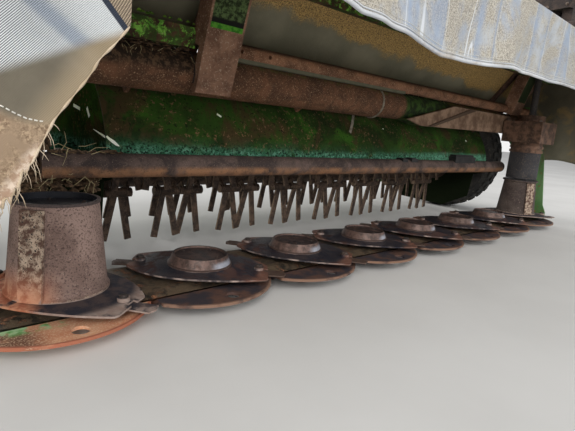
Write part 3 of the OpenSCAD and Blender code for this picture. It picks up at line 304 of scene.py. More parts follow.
def drum_material(name, centre, top, brown, orange):
    """End drum: pitted brown rust, cream corroded ribs, orange at the foot, a dark glossy lid."""
    m = Mat(name, rough=0.7, metal=0.1)
    speck = m.noise(230, 4, 0.75)
    height, radius = m.axis("Z"), m.radius_from(centre)
    side = m.mix(m.blot(0.35, 0.65, 9, 5, 0.6), brown[0], brown[1])
    side = m.mix(m.step(speck, 0.52, 0.6), side, (0.06, 0.036, 0.033), 0.85)
    side = m.mix(m.blot(0.6, 0.68, 140, 4, 0.7), side, (0.36, 0.26, 0.22), 0.7)
    foot_z, taper = PLATE_Z + 0.007, 0.019
    slope = m.by(m.calc("SUBTRACT", height, foot_z), taper / (top - foot_z))
    out = m.step(m.plus(radius, slope), 0.1165, 0.1185)
    rib = m.by(out, m.step(height, top - 0.01, top - 0.013))
    cream = m.mix(m.blot(0.42, 0.58, 75, 5, 0.7), (0.095, 0.05, 0.036), (0.48, 0.37, 0.28))
    side = m.mix(rib, side, m.mix(m.blot(0.55, 0.62, 150, 4, 0.7), cream, (0.03, 0.022, 0.02)))
    to_left = m.calc("SUBTRACT", centre[0], m.axis("X"))
    foot = m.by(m.step(height, PLATE_Z + 0.09, PLATE_Z), m.step(to_left, 0.01, 0.09))
    red = m.mix(m.blot(0.4, 0.6, 38, 5), (0.38, 0.13, 0.07), (0.56, 0.27, 0.16))
    side = m.mix(foot, side, red, orange)
    plate = m.mix(m.blot(0.4, 0.62, 24, 5, 0.6), (0.02, 0.021, 0.03), (0.065, 0.047, 0.046))
    upright = m.step(m.calc("ABSOLUTE", m.facing("Z")), 0.75, 0.4)
    worn = m.calc("MAXIMUM", m.by(m.step(radius, 0.17, 0.2), m.blot(0.42, 0.55, 18, 4)), upright)
    plate = m.mix(worn, plate, m.mix(m.noise(60, 4), (0.16, 0.085, 0.06), (0.42, 0.35, 0.31)))
    flushed = m.by(m.step(to_left, 0.055, 0.1), m.blot(0.34, 0.5, 26, 5))
    plate = m.mix(flushed, plate, red, orange)
    on_plate = m.calc("MAXIMUM", m.step(radius, 0.1235, 0.124), m.step(height, PLATE_Z + 0.002, PLATE_Z))
    lid = m.by(m.step(height, top - 0.022, top - 0.02), m.step(radius, 0.0895, 0.0885))
    rim = m.step(height, top - 0.0075, top - 0.0055)
    colour = m.mix(rim, side, (0.03, 0.027, 0.03), 0.8)
    colour = m.mix(lid, colour, (0.018, 0.019, 0.025))
    colour = m.mix(on_plate, colour, plate)
    m.bump(speck, 0.0016, 0.8)
    m.bump(m.noise(40, 5), 0.003, 0.5)
    return m.finish(colour, m.calc("SUBTRACT", 0.78, m.by(lid, 0.48)))


def guard_material():
    """Stone guards: the idle end orange with a red rim and a green patch, the rest dark with a worn rim."""
    m = Mat("guard_rust", rough=0.75, metal=0.1)
    dark = m.mix(m.blot(0.4, 0.62, 16, 6, 0.6), (0.035, 0.03, 0.036), (0.105, 0.055, 0.04))
    orange = m.mix(m.blot(0.35, 0.62, 12, 6, 0.65), (0.5, 0.2, 0.105), (0.6, 0.31, 0.18))
    x, first, second = m.axis("X"), DISC_AT[0], DISC_AT[1]
    brown = m.by(m.step(x, first.x - 0.06, first.x - 0.12), m.blot(0.35, 0.5, 14, 5))
    orange = m.mix(brown, orange, (0.16, 0.075, 0.045))
    orange = m.mix(m.blot(0.5, 0.62, 230, 3), orange, (0.68, 0.5, 0.34), 0.6)
    patch = m.by(m.step(x, first.x - 0.01, first.x - 0.05), m.blot(0.4, 0.48, 16, 5, 0.6))
    patch = m.by(patch, m.step(m.axis("Y"), first.y - 0.165, first.y - 0.14))
    green = m.mix(m.blot(0.4, 0.6, 55, 4), (0.1, 0.33, 0.08), (0.35, 0.52, 0.28))
    orange = m.mix(patch, orange, green)
    between = (first.x + second.x) / 2
    idle = m.step(x, between + 0.002, between - 0.002)
    colour = m.mix(idle, dark, orange)
    rim = None
    for centre in DISC_AT:
        own = m.step(m.radius_from((centre.x - 0.02, centre.y)), 0.229, 0.234)
        own = m.by(own, m.near(x, centre.x, 0.2, 0.199))
        rim = own if rim is None else m.calc("MAXIMUM", rim, own)
    rim = m.by(rim, m.blot(0.3, 0.5, 20, 4))
    worn = m.mix(idle, (0.22, 0.13, 0.09), (0.36, 0.13, 0.075))
    colour = m.mix(rim, colour, worn)
    m.bump(m.noise(230, 4, 0.7), 0.001, 0.7)
    m.bump(m.noise(28, 5), 0.003, 0.5)
    return m.finish(colour)


def canvas_material(name, pale, shade, dirt, amount, ribs):
    """Coated woven sheet with fine slanting ribs, blotches and dirt that gathers low down."""
    m = Mat(name, rough=0.6, sheen=0.1)
    weave = m.bands(86, m.slanted(42), 0.3)
    colour = m.mix(m.blot(0.32, 0.68, 3.2, 5, 0.6), pale, shade)
    blotch = m.blot(0.5, 0.66, 9, 7, 0.68, warp=0.7)
    colour = m.mix(blotch, colour, dirt, amount)
    grain = m.blot(0.52, 0.64, 190, 4, 0.75)
    colour = m.mix(m.by(m.by(grain, blotch), 0.6 * amount), colour, (0.12, 0.08, 0.04))
    colour = m.mix(m.by(m.calc("SUBTRACT", 1.0, weave), 0.28 * ribs), colour, shade)
    m.bump(weave, 0.0006, 0.9 * ribs)
    m.bump(m.noise(14, 5, 0.6), 0.006, 0.6)
    return m.finish(colour)


# A fold across the idle end of the front curtain, shaped in the sheet, with painted shade along it: a point
# in x and z and its direction of growth
FOLD_LINE = (-1.507, 0.624, 0.58, 0.81)


def outer_canvas():
    """Outer face: blue-silver, dirt blotches, creases with a painted highlight and painted shade beside them;
    ribbed and dirty at the idle end, with a painted sunlit upper part, painted shade below it and along a
    fold.
    """
    m = Mat("canvas_outer", rough=0.5, sheen=0.1)
    x, z = m.axis("X"), m.axis("Z")

    def line(px, pz, nx, nz):
        """Distance to a slanting line through (px, pz) in the curtain's plane, growing along (nx, nz)."""
        return m.plus(m.by(m.plus(x, -px), nx), m.by(m.plus(z, -pz), nz))

    colour = m.mix(m.blot(0.35, 0.62, 5, 5, 0.6), (0.4, 0.42, 0.44), (0.26, 0.3, 0.37))
    blotch = m.blot(0.4, 0.58, 5, 7, 0.7, warp=0.6)
    grain = m.blot(0.4, 0.6, 240, 4, 0.8)
    colour = m.mix(blotch, colour, m.mix(grain, (0.15, 0.125, 0.085), (0.5, 0.45, 0.36)), 0.85)
    crease = m.noise(1.0, 2, 0.4, at=m.stretched((6.5, 6.5, 0.8)))
    # Beside each crease a blue band of painted shade.
    crease_shade = m.by(m.step(crease, 0.495, 0.53), m.step(crease, 0.61, 0.53))
    colour = m.mix(crease_shade, colour, (0.18, 0.26, 0.4), 0.5)
    # On each crease a pale line, a painted highlight.
    off = m.calc("ABSOLUTE", m.plus(crease, -0.49))
    colour = m.mix(m.step(off, 0.005, 0.001), colour, (0.6, 0.63, 0.67), 0.8)
    ribs = m.bands(135, m.slanted(-44), 0.2)
    furrow = m.step(ribs, 0.62, 0.28)
    # Silver-white at the idle end, brighter than the rest of the sheet: painted sunlight.
    light = m.mix(m.blot(0.35, 0.65, 4, 3), (0.54, 0.56, 0.57), (0.76, 0.78, 0.78))
    # A bluish-grey band along the fold: painted shade.
    fold = m.step(m.calc("ABSOLUTE", line(*FOLD_LINE)), 0.02, 0.004)
    light = m.mix(fold, light, (0.3, 0.34, 0.4))
    deep = m.step(x, -1.44, -1.58)
    light = m.mix(m.by(furrow, m.plus(0.28, m.by(deep, 0.6))), light, (0.075, 0.08, 0.09))
    # Olive-grey below the slanting line and above the seam: painted shade.
    olive = m.mix(m.blot(0.35, 0.65, 9, 4), (0.092, 0.079, 0.057), (0.135, 0.116, 0.084))
    worn = m.step(line(-1.425, 0.617, 0.834, -0.553), -0.055, -0.012)
    tan = m.mix(furrow, (0.3, 0.235, 0.15), (0.13, 0.1, 0.065), 0.35)
    olive = m.mix(worn, olive, tan, 0.85)
    dirt = m.mix(m.blot(0.42, 0.58, 200, 4, 0.75), (0.13, 0.08, 0.045), (0.38, 0.28, 0.18))
    dirt = m.mix(m.blot(0.4, 0.6, 16, 6, 0.7), dirt, (0.24, 0.17, 0.11))
    torn = m.by(m.step(line(-1.557, 0.418, 0.834, -0.553), -0.022, -0.006), m.step(z, 0.47, 0.44))
    dirt = m.mix(torn, dirt, m.mix(m.blot(0.4, 0.6, 60, 5, 0.7), (0.33, 0.22, 0.15), (0.62, 0.51, 0.41)))
    seam = m.plus(z, m.by(m.step(x, -1.62, -1.54), 0.02))
    olive = m.mix(m.step(seam, 0.514, 0.498), olive, dirt)
    # Painted sunlit part above this slanting line, painted shade below it.
    above = m.step(line(-1.582, 0.557, -0.425, 0.905), -0.012, 0.006)
    end = m.mix(above, olive, light)
    corner = line(-1.454, 0.667, 0.74, 0.673)
    high = m.by(m.step(z, 0.622, 0.628), m.step(z, 0.8, 0.78))
    end = m.mix(m.by(m.step(corner, -0.001, 0.001), high), end, (0.012, 0.018, 0.034))
    flap = m.mix(m.bands(90, m.slanted(-30), 0.3), (0.085, 0.062, 0.042), (0.34, 0.27, 0.19))
    end = m.mix(m.by(m.step(corner, 0.0085, 0.01), high), end, flap)
    idle = m.step(x, -1.39, -1.405)
    m.bump(m.by(ribs, m.plus(0.25, m.by(idle, above))), 0.0006, 0.9)
    m.bump(m.noise(14, 5, 0.6), 0.006, 0.6)
    m.bump(crease, 0.02, 0.5)
    return m.finish(m.mix(idle, colour, end))


def lining():
    """Inner face of the roof: olive-grey at the rear edge, golden-brown and lighter further up."""
    m = Mat("canvas_lining", rough=0.8)
    olive = m.mix(m.blot(0.35, 0.65, 3.5, 4), (0.26, 0.24, 0.165), (0.165, 0.155, 0.105))
    gold = m.mix(m.blot(0.42, 0.58, 210, 4, 0.75), (0.2, 0.125, 0.045), (0.66, 0.42, 0.14))
    height = m.plus(m.axis("Z"), m.by(m.noise(7, 5, 0.65), 0.13))
    height = m.plus(height, m.by(m.axis("X"), 0.045))
    colour = m.mix(m.step(height, 0.93, 0.965), olive, gold, 0.9)
    colour = m.mix(m.blot(0.6, 0.68, 300, 3), colour, (0.3, 0.25, 0.17), 0.5)
    m.bump(m.noise(9, 4, 0.6), 0.008, 0.5)
    m.bump(m.noise(260, 3), 0.0006, 0.5)
    return m.finish(colour)


def beam_material():
    """Main beam: brown rust, moss on top, crop dirt, a pale end of the sleeve, a tan gusset box, and dark
    green painted shade where the beam runs into the box's recess.
    """
    m = Mat("beam_rust", rough=0.85)
    x, y, z = m.axis("X"), m.axis("Y"), m.axis("Z")
    colour = m.mix(m.blot(0.36, 0.66, 12, 6, 0.65, warp=0.6), (0.075, 0.037, 0.021), (0.175, 0.08, 0.042))
    colour = m.mix(m.blot(0.57, 0.65, 220, 3, 0.7), colour, (0.42, 0.27, 0.16), 0.8)
    up = m.step(m.facing("Z"), 0.45, 0.9)
    moss = m.by(up, m.blot(0.48, 0.58, 40, 6, 0.7))
    colour = m.mix(moss, colour, (0.115, 0.135, 0.022), 0.85)
    idle = m.step(x, -0.955, -0.975)
    soil = m.mix(m.blot(0.45, 0.6, 55, 6, 0.75), (0.022, 0.014, 0.009), (0.12, 0.07, 0.038))
    dirty = m.step(m.plus(z, m.by(m.noise(12, 5), 0.06)), 0.665, 0.695)
    colour = m.mix(m.by(idle, dirty), colour, soil)
    # Dark green where the beam runs behind the gusset box: painted shade in the recess.
    recess = m.by(m.step(x, 0.19, 0.23), m.step(x, 0.7, 0.6))
    recess = m.by(recess, m.step(y, ROW_Y + 0.138, ROW_Y + 0.141))
    green = m.mix(m.blot(0.4, 0.6, 30, 5), (0.012, 0.022, 0.006), (0.04, 0.085, 0.014))
    colour = m.mix(recess, colour, green)
    pale = m.by(m.step(m.facing("X"), 0.6, 0.8), m.step(x, 0.0, 0.012))
    pale = m.by(pale, m.step(x, 0.04, 0.03))
    colour = m.mix(pale, colour, (0.42, 0.38, 0.29))
    box = m.by(m.step(y, ROW_Y + 0.1395, ROW_Y + 0.137), m.step(x, 0.205, 0.208))
    tan = m.mix(m.blot(0.38, 0.62, 15, 6, 0.65), (0.155, 0.092, 0.058), (0.33, 0.215, 0.145))
    tan = m.mix(m.step(y, ROW_Y + 0.1235, ROW_Y + 0.1215), tan, (0.095, 0.06, 0.04))
    colour = m.mix(box, colour, tan)
    m.bump(m.noise(220, 3, 0.7), 0.0016, 0.7)
    m.bump(m.noise(60, 5, 0.6), 0.003, 0.6)
    return m.finish(colour)


def bracket_material():
    """Brackets: pinkish-brown face with pale specks, mossy green inside the channels with a black band of
    painted shadow across them, and painted shade inside the far bracket's channel.
    """
    m = Mat("bracket_rust", rough=0.85)
    x, z = m.axis("X"), m.axis("Z")
    face = m.mix(m.blot(0.36, 0.64, 16, 6, 0.65), (0.15, 0.078, 0.05), (0.3, 0.165, 0.106))
    face = m.mix(m.blot(0.57, 0.63, 160, 4, 0.75), face, (0.46, 0.34, 0.25), 0.9)
    inside = m.mix(m.blot(0.42, 0.6, 75, 5, 0.75), (0.018, 0.028, 0.01), (0.11, 0.17, 0.06))
    # A black band across the channel: painted shadow.
    inside = m.mix(m.step(z, 0.812, 0.804), inside, (0.008, 0.008, 0.006))
    moss = m.mix(m.blot(0.4, 0.6, 60, 4), (0.03, 0.18, 0.014), (0.1, 0.33, 0.03))
    inside = m.mix(m.step(z, 0.7935, 0.792), inside, moss)
    shaded = m.mix(m.noise(40, 4), (0.015, 0.022, 0.01), (0.045, 0.07, 0.022))
    inside = m.mix(m.step(x, 0.6, 0.8), inside, shaded)
    idle, far = m.near(x, BRACKET_X[0], 0.0585, 0.0575), m.near(x, BRACKET_X[1], 0.0575, 0.0565)
    colour = m.mix(m.by(m.calc("MAXIMUM", idle, far), m.step(z, 0.7775, 0.7785)), face, inside)
    m.bump(m.noise(160, 4, 0.75), 0.0018, 0.8)
    return m.finish(colour)


def ledge_material():
    """Rails and ledge of the canopy frame: brown with bright moss on top and along the front."""
    m = Mat("ledge_moss", rough=0.9)
    colour = m.mix(m.blot(0.38, 0.62, 15, 6, 0.65), (0.045, 0.026, 0.016), (0.125, 0.066, 0.036))
    green = m.mix(m.blot(0.35, 0.65, 10, 5, 0.6), (0.036, 0.062, 0.014), (0.07, 0.13, 0.03))
    colour = m.mix(m.blot(0.46, 0.56, 24, 6, 0.7, warp=0.5), colour, green)
    up, front = m.step(m.facing("Z"), 0.3, 0.9), m.step(m.facing("Y"), -0.3, -0.9)
    moss = m.by(m.plus(up, front), m.blot(0.5, 0.56, 26, 7, 0.75, warp=0.4))
    colour = m.mix(moss, colour, m.mix(m.blot(0.4, 0.6, 70, 4), (0.095, 0.29, 0.03), (0.27, 0.61, 0.09)))
    m.bump(m.noise(90, 6, 0.75), 0.004, 0.8)
    return m.finish(colour)


def gear_case():
    """Far gear case: dark grey neck, brown collars and a rusty box above it."""
    m = Mat("gear_case", rough=0.7)
    z = m.axis("Z")
    grey = m.mix(m.blot(0.35, 0.65, 7, 4), (0.018, 0.019, 0.022), (0.042, 0.041, 0.044))
    brown = m.mix(m.blot(0.38, 0.62, 18, 6, 0.65), (0.06, 0.036, 0.026), (0.19, 0.105, 0.068))
    colour = m.mix(m.step(z, 0.4685, 0.4695), grey, brown)
    colour = m.mix(m.step(z, 0.702, 0.708), colour, (0.052, 0.05, 0.05))
    colour = m.mix(m.blot(0.58, 0.66, 190, 3, 0.7), colour, (0.3, 0.2, 0.14), 0.6)
    m.bump(m.noise(190, 3), 0.0012, 0.7)
    return m.finish(colour)


def tube_material():
    """Curtain tube: orange-brown rust, darker on top as painted shade; the flat strip under it pale
    grey-green.
    """
    m = Mat("tube_rust", rough=0.85)
    z = m.axis("Z")
    colour = m.mix(m.blot(0.36, 0.64, 13, 6, 0.65, warp=0.5), (0.13, 0.062, 0.035), (0.29, 0.14, 0.078))
    colour = m.mix(m.blot(0.56, 0.64, 240, 3, 0.7), colour, (0.5, 0.33, 0.21), 0.8)
    # Faces that look up darker: painted shade from the canvas above.
    colour = m.mix(m.step(m.facing("Z"), 0.35, 0.85), colour, (0.06, 0.034, 0.022))
    low = m.by(m.step(z, 0.7165, 0.7155), m.step(m.axis("X"), 0.175, 0.17))
    colour = m.mix(low, colour, m.mix(m.noise(50, 5), (0.085, 0.085, 0.052), (0.17, 0.165, 0.115)))
    m.bump(m.noise(240, 3, 0.7), 0.0014, 0.7)
    return m.finish(colour)


def plain(name, a, b, scale, rough, bump=0.0006, metal=0.0, spots=None):
    """Two colours mottled at one scale, with spots of a third."""
    m = Mat(name, rough=rough, metal=metal)
    colour = m.mix(m.blot(0.35, 0.65, scale, 5, 0.6), a, b)
    if spots:
        colour = m.mix(m.blot(0.56, 0.64, scale * 7, 5, 0.7), colour, spots, 0.8)
    m.bump(m.noise(scale * 12, 4), bump, 0.7)
    return m.finish(colour)


# Orange on the lip tube's downward faces: partly rust, partly painted light from below.
LIP_RUST = rust("rust_lip", (0.04, 0.029, 0.027), (0.125, 0.086, 0.073), (0.34, 0.25, 0.19), coarse=10,
                under=(0.3, 0.15, 0.076), turn=(0.15, -0.4))
PLATE_RUST = rust("rust_plate", (0.1, 0.058, 0.044), (0.185, 0.105, 0.078), (0.42, 0.32, 0.25), coarse=18)
STEEL = rust("dark_steel", (0.028, 0.024, 0.024), (0.075, 0.052, 0.043), (0.22, 0.18, 0.15), coarse=12,
             rough=0.72, shine=0.2)
TINE = rust("tine_steel", (0.034, 0.023, 0.018), (0.13, 0.082, 0.056), (0.32, 0.24, 0.18), coarse=30,
            rough=0.7, shine=0.1, edge=(0.33, 0.235, 0.165))
BAR = paint("bar_paint", (0.017, 0.016, 0.014), (0.038, 0.029, 0.022), (0.08, 0.053, 0.035), chips=0.57,
            moss=(0.088, 0.062, 0.04), moss_low=0.44)
GREEN = paint("green_paint", (0.06, 0.15, 0.045), (0.11, 0.22, 0.085), (0.075, 0.07, 0.04),
              moss=(0.16, 0.3, 0.04), moss_low=0.56)
DARK_GREEN = paint("dark_paint", (0.012, 0.024, 0.007), (0.022, 0.046, 0.012), (0.03, 0.02, 0.012),
                   chips=0.6, specular=0.0)
RIM_PAINT = paint("rim_paint", (0.42, 0.34, 0.1), (0.52, 0.46, 0.22), (0.14, 0.1, 0.06), chips=0.6)
HOOD = hood_material("hood_moss_green", 0.1)
# The side sheets: the hood's colours with painted shade.
HOOD_SIDE = hood_material("hood_side_green", 0.0, 0.5)
LEDGE = ledge_material()
GUARD = guard_material()
BEAM = beam_material()
BRACKET = bracket_material()
TUBE = tube_material()
CASE = gear_case()
CANVAS_OUT = outer_canvas()
LINING = lining()
CANVAS_IN = canvas_material("canvas_inner", (0.16, 0.145, 0.1), (0.09, 0.085, 0.06), (0.28, 0.19, 0.08),
                            0.8, 0.4)
HEM = canvas_material("canvas_hem", (0.6, 0.61, 0.62), (0.4, 0.42, 0.45), (0.3, 0.22, 0.13), 0.5, 0.3)
FRAYED = canvas_material("canvas_frayed", (0.48, 0.38, 0.26), (0.3, 0.22, 0.14), (0.62, 0.52, 0.4), 0.7, 0.6)
RUBBER = plain("tyre_rubber", (0.018, 0.018, 0.018), (0.045, 0.042, 0.038), 9, 0.85, 0.001,
               spots=(0.1, 0.085, 0.065))
YELLOW = plain("faded_plastic", (0.46, 0.33, 0.04), (0.6, 0.5, 0.16), 6, 0.6, 0.0004, spots=(0.22, 0.18, 0.1))
CHROME = plain("rod_steel", (0.42, 0.41, 0.4), (0.6, 0.6, 0.6), 20, 0.28, 0.0001, metal=0.9,
               spots=(0.2, 0.13, 0.09))
BOLT = plain("bolt_steel", (0.1, 0.07, 0.055), (0.24, 0.2, 0.17), 60, 0.6, 0.0003, metal=0.4,
             spots=(0.2, 0.09, 0.05))
PALE_STEEL = plain("pale_steel", (0.15, 0.125, 0.09), (0.32, 0.285, 0.225), 45, 0.8,
                   spots=(0.12, 0.06, 0.035))
BLACK = plain("black_band", (0.008, 0.008, 0.009), (0.022, 0.02, 0.019), 30, 0.6)
DAYLIGHT = plain("hole_light", (0.8, 0.86, 0.62), (0.88, 0.9, 0.8), 30, 0.9)
SOIL = plain("crop_dirt", (0.035, 0.022, 0.013), (0.17, 0.105, 0.06), 70, 0.95, 0.002)
THREAD = plain("thread", (0.55, 0.53, 0.48), (0.7, 0.68, 0.62), 40, 0.8)
STRAW = plain("straw", (0.3, 0.24, 0.12), (0.5, 0.42, 0.24), 50, 0.9)
MOSS = plain("moss", (0.06, 0.14, 0.015), (0.22, 0.42, 0.05), 60, 0.95, 0.003)
BROWNS = ((0.175, 0.115, 0.095), (0.32, 0.22, 0.185))
DARK_BROWNS = ((0.06, 0.045, 0.04), (0.12, 0.095, 0.08))


def dress(material, *names):
    """Gives each node its one material."""
    for name in names:
        mesh = NODES[name].data
        mesh.materials.clear()
        mesh.materials.append(material)


def both_sides(*names):
    return [f"{name}_{side}" for name in names for side in ("right", "left")]


dress(GREEN, "header_ends", "frame_legs", "main_frame", "rear_deflector", "drawbar", "jack_tube",
      *both_sides("swath_door", "wheel_arm"))
dress(STEEL, "hitch", "swivel_gearbox", "pto_shaft", "jack_leg", "swing_barrel", *both_sides("lift_barrel"))
dress(CHROME, "swing_rod", *both_sides("lift_rod"))
dress(RIM_PAINT, *both_sides("rim"))
dress(RUBBER, *both_sides("tyre"))
dress(TINE, "rotor", "tines")
for name, material in {
        "cutterbar": BAR, "stone_guards": GUARD, "header_beam": BEAM, "lip_tube": LIP_RUST, "hood": HOOD,
        "hood_sides": HOOD_SIDE, "beam_brackets": BRACKET, "curtain_tube": TUBE, "canopy_frame": LEDGE,
        "canopy_rafters": PLATE_RUST, "drive_gearbox": CASE, "rotor_drive_guard": DARK_GREEN,
        "pto_guard": YELLOW}.items():
    dress(material, name)
dress(drum_material("idle_drum", DISC_AT[0], IDLE_DRUM_TOP, BROWNS, 1.0), "disc_1")
dress(drum_material("drive_drum", DISC_AT[-1], DRIVE_DRUM_TOP, DARK_BROWNS, 0.0), f"disc_{DISCS}")
for i in range(1, DISCS - 1):
    dress(disc_material(i, DISC_AT[i]), f"disc_{i + 1}")


def new_mesh(name, verts, faces, materials, face_materials=None, smooth=True):
    mesh = bpy.data.meshes.new(name)
    mesh.from_pydata([tuple(v) for v in verts], [], [tuple(f) for f in faces])
    for material in materials:
        mesh.materials.append(material)
    if face_materials is not None:
        mesh.polygons.foreach_set("material_index", face_materials)
    mesh.polygons.foreach_set("use_smooth", [smooth] * len(mesh.polygons))
    mesh.update()
    obj = bpy.data.objects.new(name, mesh)
    bpy.context.scene.collection.objects.link(obj)
    return obj


def ring_of(count, turn=0.0):
    """Angles of `count` points round a circle."""
    return [turn + 2 * math.pi * k / count for k in range(count)]


def shell(name, grid, materials):
    """A closed sheet from a grid of points of its outer face; its inner face lies SHEET_T behind it."""
    grid = np.asarray(grid, float)
    n, m = grid.shape[:2]
    du = np.gradient(grid, axis=0)
    dv = np.gradient(grid, axis=1)
    normal = np.cross(du, dv)
    normal /= np.linalg.norm(normal, axis=2, keepdims=True)
    verts = np.concatenate([grid.reshape(-1, 3), (grid - normal * SHEET_T).reshape(-1, 3)])
    index = np.arange(n * m).reshape(n, m)
    back = index + n * m
    faces, slots = [], []
    for i in range(n - 1):
        for j in range(m - 1):
            faces.append((index[i, j], index[i + 1, j], index[i + 1, j + 1], index[i, j + 1]))
            faces.append((back[i, j], back[i, j + 1], back[i + 1, j + 1], back[i + 1, j]))
            slots += [0, 1]
    rim = [(i, 0) for i in range(n)] + [(n - 1, j) for j in range(1, m)]
    rim += [(i, m - 1) for i in range(n - 2, -1, -1)] + [(0, j) for j in range(m - 2, 0, -1)]
    for a, b in zip(rim, rim[1:] + rim[:1]):
        faces.append((index[b], index[a], back[a], back[b]))
        slots.append(2)
    return new_mesh(name, verts, faces, materials, slots)


# Faces of a box whose corners run x, then y, then z, and of one given as two rings of four
BOX = [(0, 1, 3, 2), (4, 6, 7, 5), (0, 4, 5, 1), (2, 3, 7, 6), (0, 2, 6, 4), (1, 5, 7, 3)]
RING_BOX = [(0, 1, 2, 3), (4, 7, 6, 5), (0, 4, 5, 1), (1, 5, 6, 2), (2, 6, 7, 3), (3, 7, 4, 0)]


class Bits:
    """Collects many small closed forms into one mesh per body."""

    def __init__(self):
        self.verts, self.faces = [], []

    def add(self, verts, faces):
        base = len(self.verts)
        self.verts += [tuple(v) for v in verts]
        self.faces += [tuple(base + k for k in f) for f in faces]

    def prism(self, at, axis, radius, height, sides=6, turn=0.0):
        """A closed prism from `at` along `axis`, with a chamfered top."""
        axis = Vector(axis).normalized()
        a = axis.orthogonal().normalized()
        b = axis.cross(a)
        verts = []
        for h, r in ((0.0, radius), (height * 0.8, radius), (height, radius * 0.86)):
            for t in ring_of(sides, turn):
                verts.append(Vector(at) + axis * h + a * (r * math.cos(t)) + b * (r * math.sin(t)))
        faces = [tuple(range(sides))[::-1], tuple(range(2 * sides, 3 * sides))]
        for ring in (0, sides):
            faces += [(ring + k, ring + (k + 1) % sides, ring + sides + (k + 1) % sides, ring + sides + k)
                      for k in range(sides)]
        self.add(verts, faces)

    def bolt(self, at, axis, size, turn):
        """Washer, hexagon head and the end of a thread."""
        at, axis = Vector(at), Vector(axis).normalized()
        self.prism(at, axis, size * 1.15, size * 0.22, 16)
        self.prism(at + axis * size * 0.2, axis, size, size * 0.75, turn=turn)
        self.prism(at + axis * size * 0.9, axis, size * 0.5, size * 0.35, 10)

    def slab(self, low, high, matrix=None):
        """A box between two corners, moved by matrix."""
        x, y, z = zip(low, high)
        verts = [Vector((x[i], y[j], z[k])) for i in (0, 1) for j in (0, 1) for k in (0, 1)]
        if matrix is not None:
            verts = [matrix @ v for v in verts]
        self.add(verts, BOX)

    def tube(self, points, radius, sides, closed=False):
        """A tube along points, capped at its ends; radius is a number or one per point."""
        points = [Vector(p) for p in points]
        radii = radius if hasattr(radius, "__len__") else [radius] * len(points)
        count = len(points)
        verts = []
        side = None
        for i, p in enumerate(points):
            ahead = points[(i + 1) % count] if closed or i + 1 < count else p
            behind = points[i - 1] if closed or i > 0 else p
            along = (ahead - behind).normalized()
            if side is None:
                side = along.orthogonal().normalized()
            side = (side - along * side.dot(along)).normalized()
            other = along.cross(side)
            for t in ring_of(sides):
                verts.append(p + side * (radii[i] * math.cos(t)) + other * (radii[i] * math.sin(t)))
        faces = []
        for i in range(count if closed else count - 1):
            a, b = i * sides, ((i + 1) % count) * sides
            faces += [(a + k, a + (k + 1) % sides, b + (k + 1) % sides, b + k) for k in range(sides)]
        if not closed:
            faces += [tuple(range(sides))[::-1], tuple((count - 1) * sides + k for k in range(sides))]
        self.add(verts, faces)

    def lump(self, at, size, seed, squash):
        """A small uneven clod: a tip over two rings of six corners."""
        rng = random.Random(seed)
        verts = [Vector(at) + Vector((0, 0, size * squash))]
        for level, wide in ((0.45, 0.8), (-0.1, 1.0)):
            for k in range(6):
                t = 2 * math.pi * (k + 0.5 * (level < 0)) / 6
                r = size * wide * rng.uniform(0.7, 1.15)
                verts.append(Vector(at) + Vector((r * math.cos(t), r * math.sin(t), size * squash * level)))
        faces = [(0, 1 + k, 1 + (k + 1) % 6) for k in range(6)]
        faces += [(1 + k, 7 + k, 1 + (k + 1) % 6) for k in range(6)]
        faces += [(1 + (k + 1) % 6, 7 + k, 7 + (k + 1) % 6) for k in range(6)]
        faces.append(tuple(7 + k for k in range(6))[::-1])
        self.add(verts, [f[::-1] for f in faces])

    def done(self, name, material, body, slot=None, smooth=False):
        obj = new_mesh(name, self.verts, self.faces, [material], smooth=smooth)
        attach(obj, body)
        return obj


LENS_PX, PHOTO_PX = 448.1, 575  # focal length and width of the photo, in its pixels
LAMPS = [  # name, place, size, power, colour
    ("key", (-6.75, -7.05, 6.65), 6.0, 970, (1.0, 0.98, 0.95)),
    ("fill", (5.25, -8.55, 4.55), 6.75, 410, (0.95, 0.97, 1.0)),
    ("back", (-1.5, 9.45, 6.5), 6.75, 675, (1.0, 0.99, 0.97)),
    ("low", (-5.5, -2.5, 1.2), 1.8, 66, (1.0, 0.98, 0.95))]
LAMPS_AIM = Vector((0, 0.6, 0.5))


def camera():
    """The photograph's view: place, turn and lens as solved from the row of discs."""
    yaw, pitch, roll = math.radians(47.06), math.radians(11.27), math.radians(4.8)
    place = Vector((DISC_AT[0].x - 0.3082, ROW_Y - 1.1372, PLATE_Z + 0.4311))
    ahead = Vector((math.cos(yaw) * math.cos(pitch), math.sin(yaw) * math.cos(pitch), -math.sin(pitch)))
    level = Vector((math.sin(yaw), -math.cos(yaw), 0))
    up = level.cross(ahead)
    right = level * math.cos(roll) + up * math.sin(roll)
    top = up * math.cos(roll) - level * math.sin(roll)
    data = bpy.data.cameras.new("camera")
    data.sensor_width = 36.0
    data.lens = LENS_PX / PHOTO_PX * data.sensor_width
    data.clip_start = 0.01
    obj = bpy.data.objects.new("camera", data)
    obj.matrix_world = Matrix((
        (right.x, top.x, -ahead.x, place.x), (right.y, top.y, -ahead.y, place.y),
        (right.z, top.z, -ahead.z, place.z), (0, 0, 0, 1)))
    bpy.context.scene.collection.objects.link(obj)
    bpy.context.scene.camera = obj


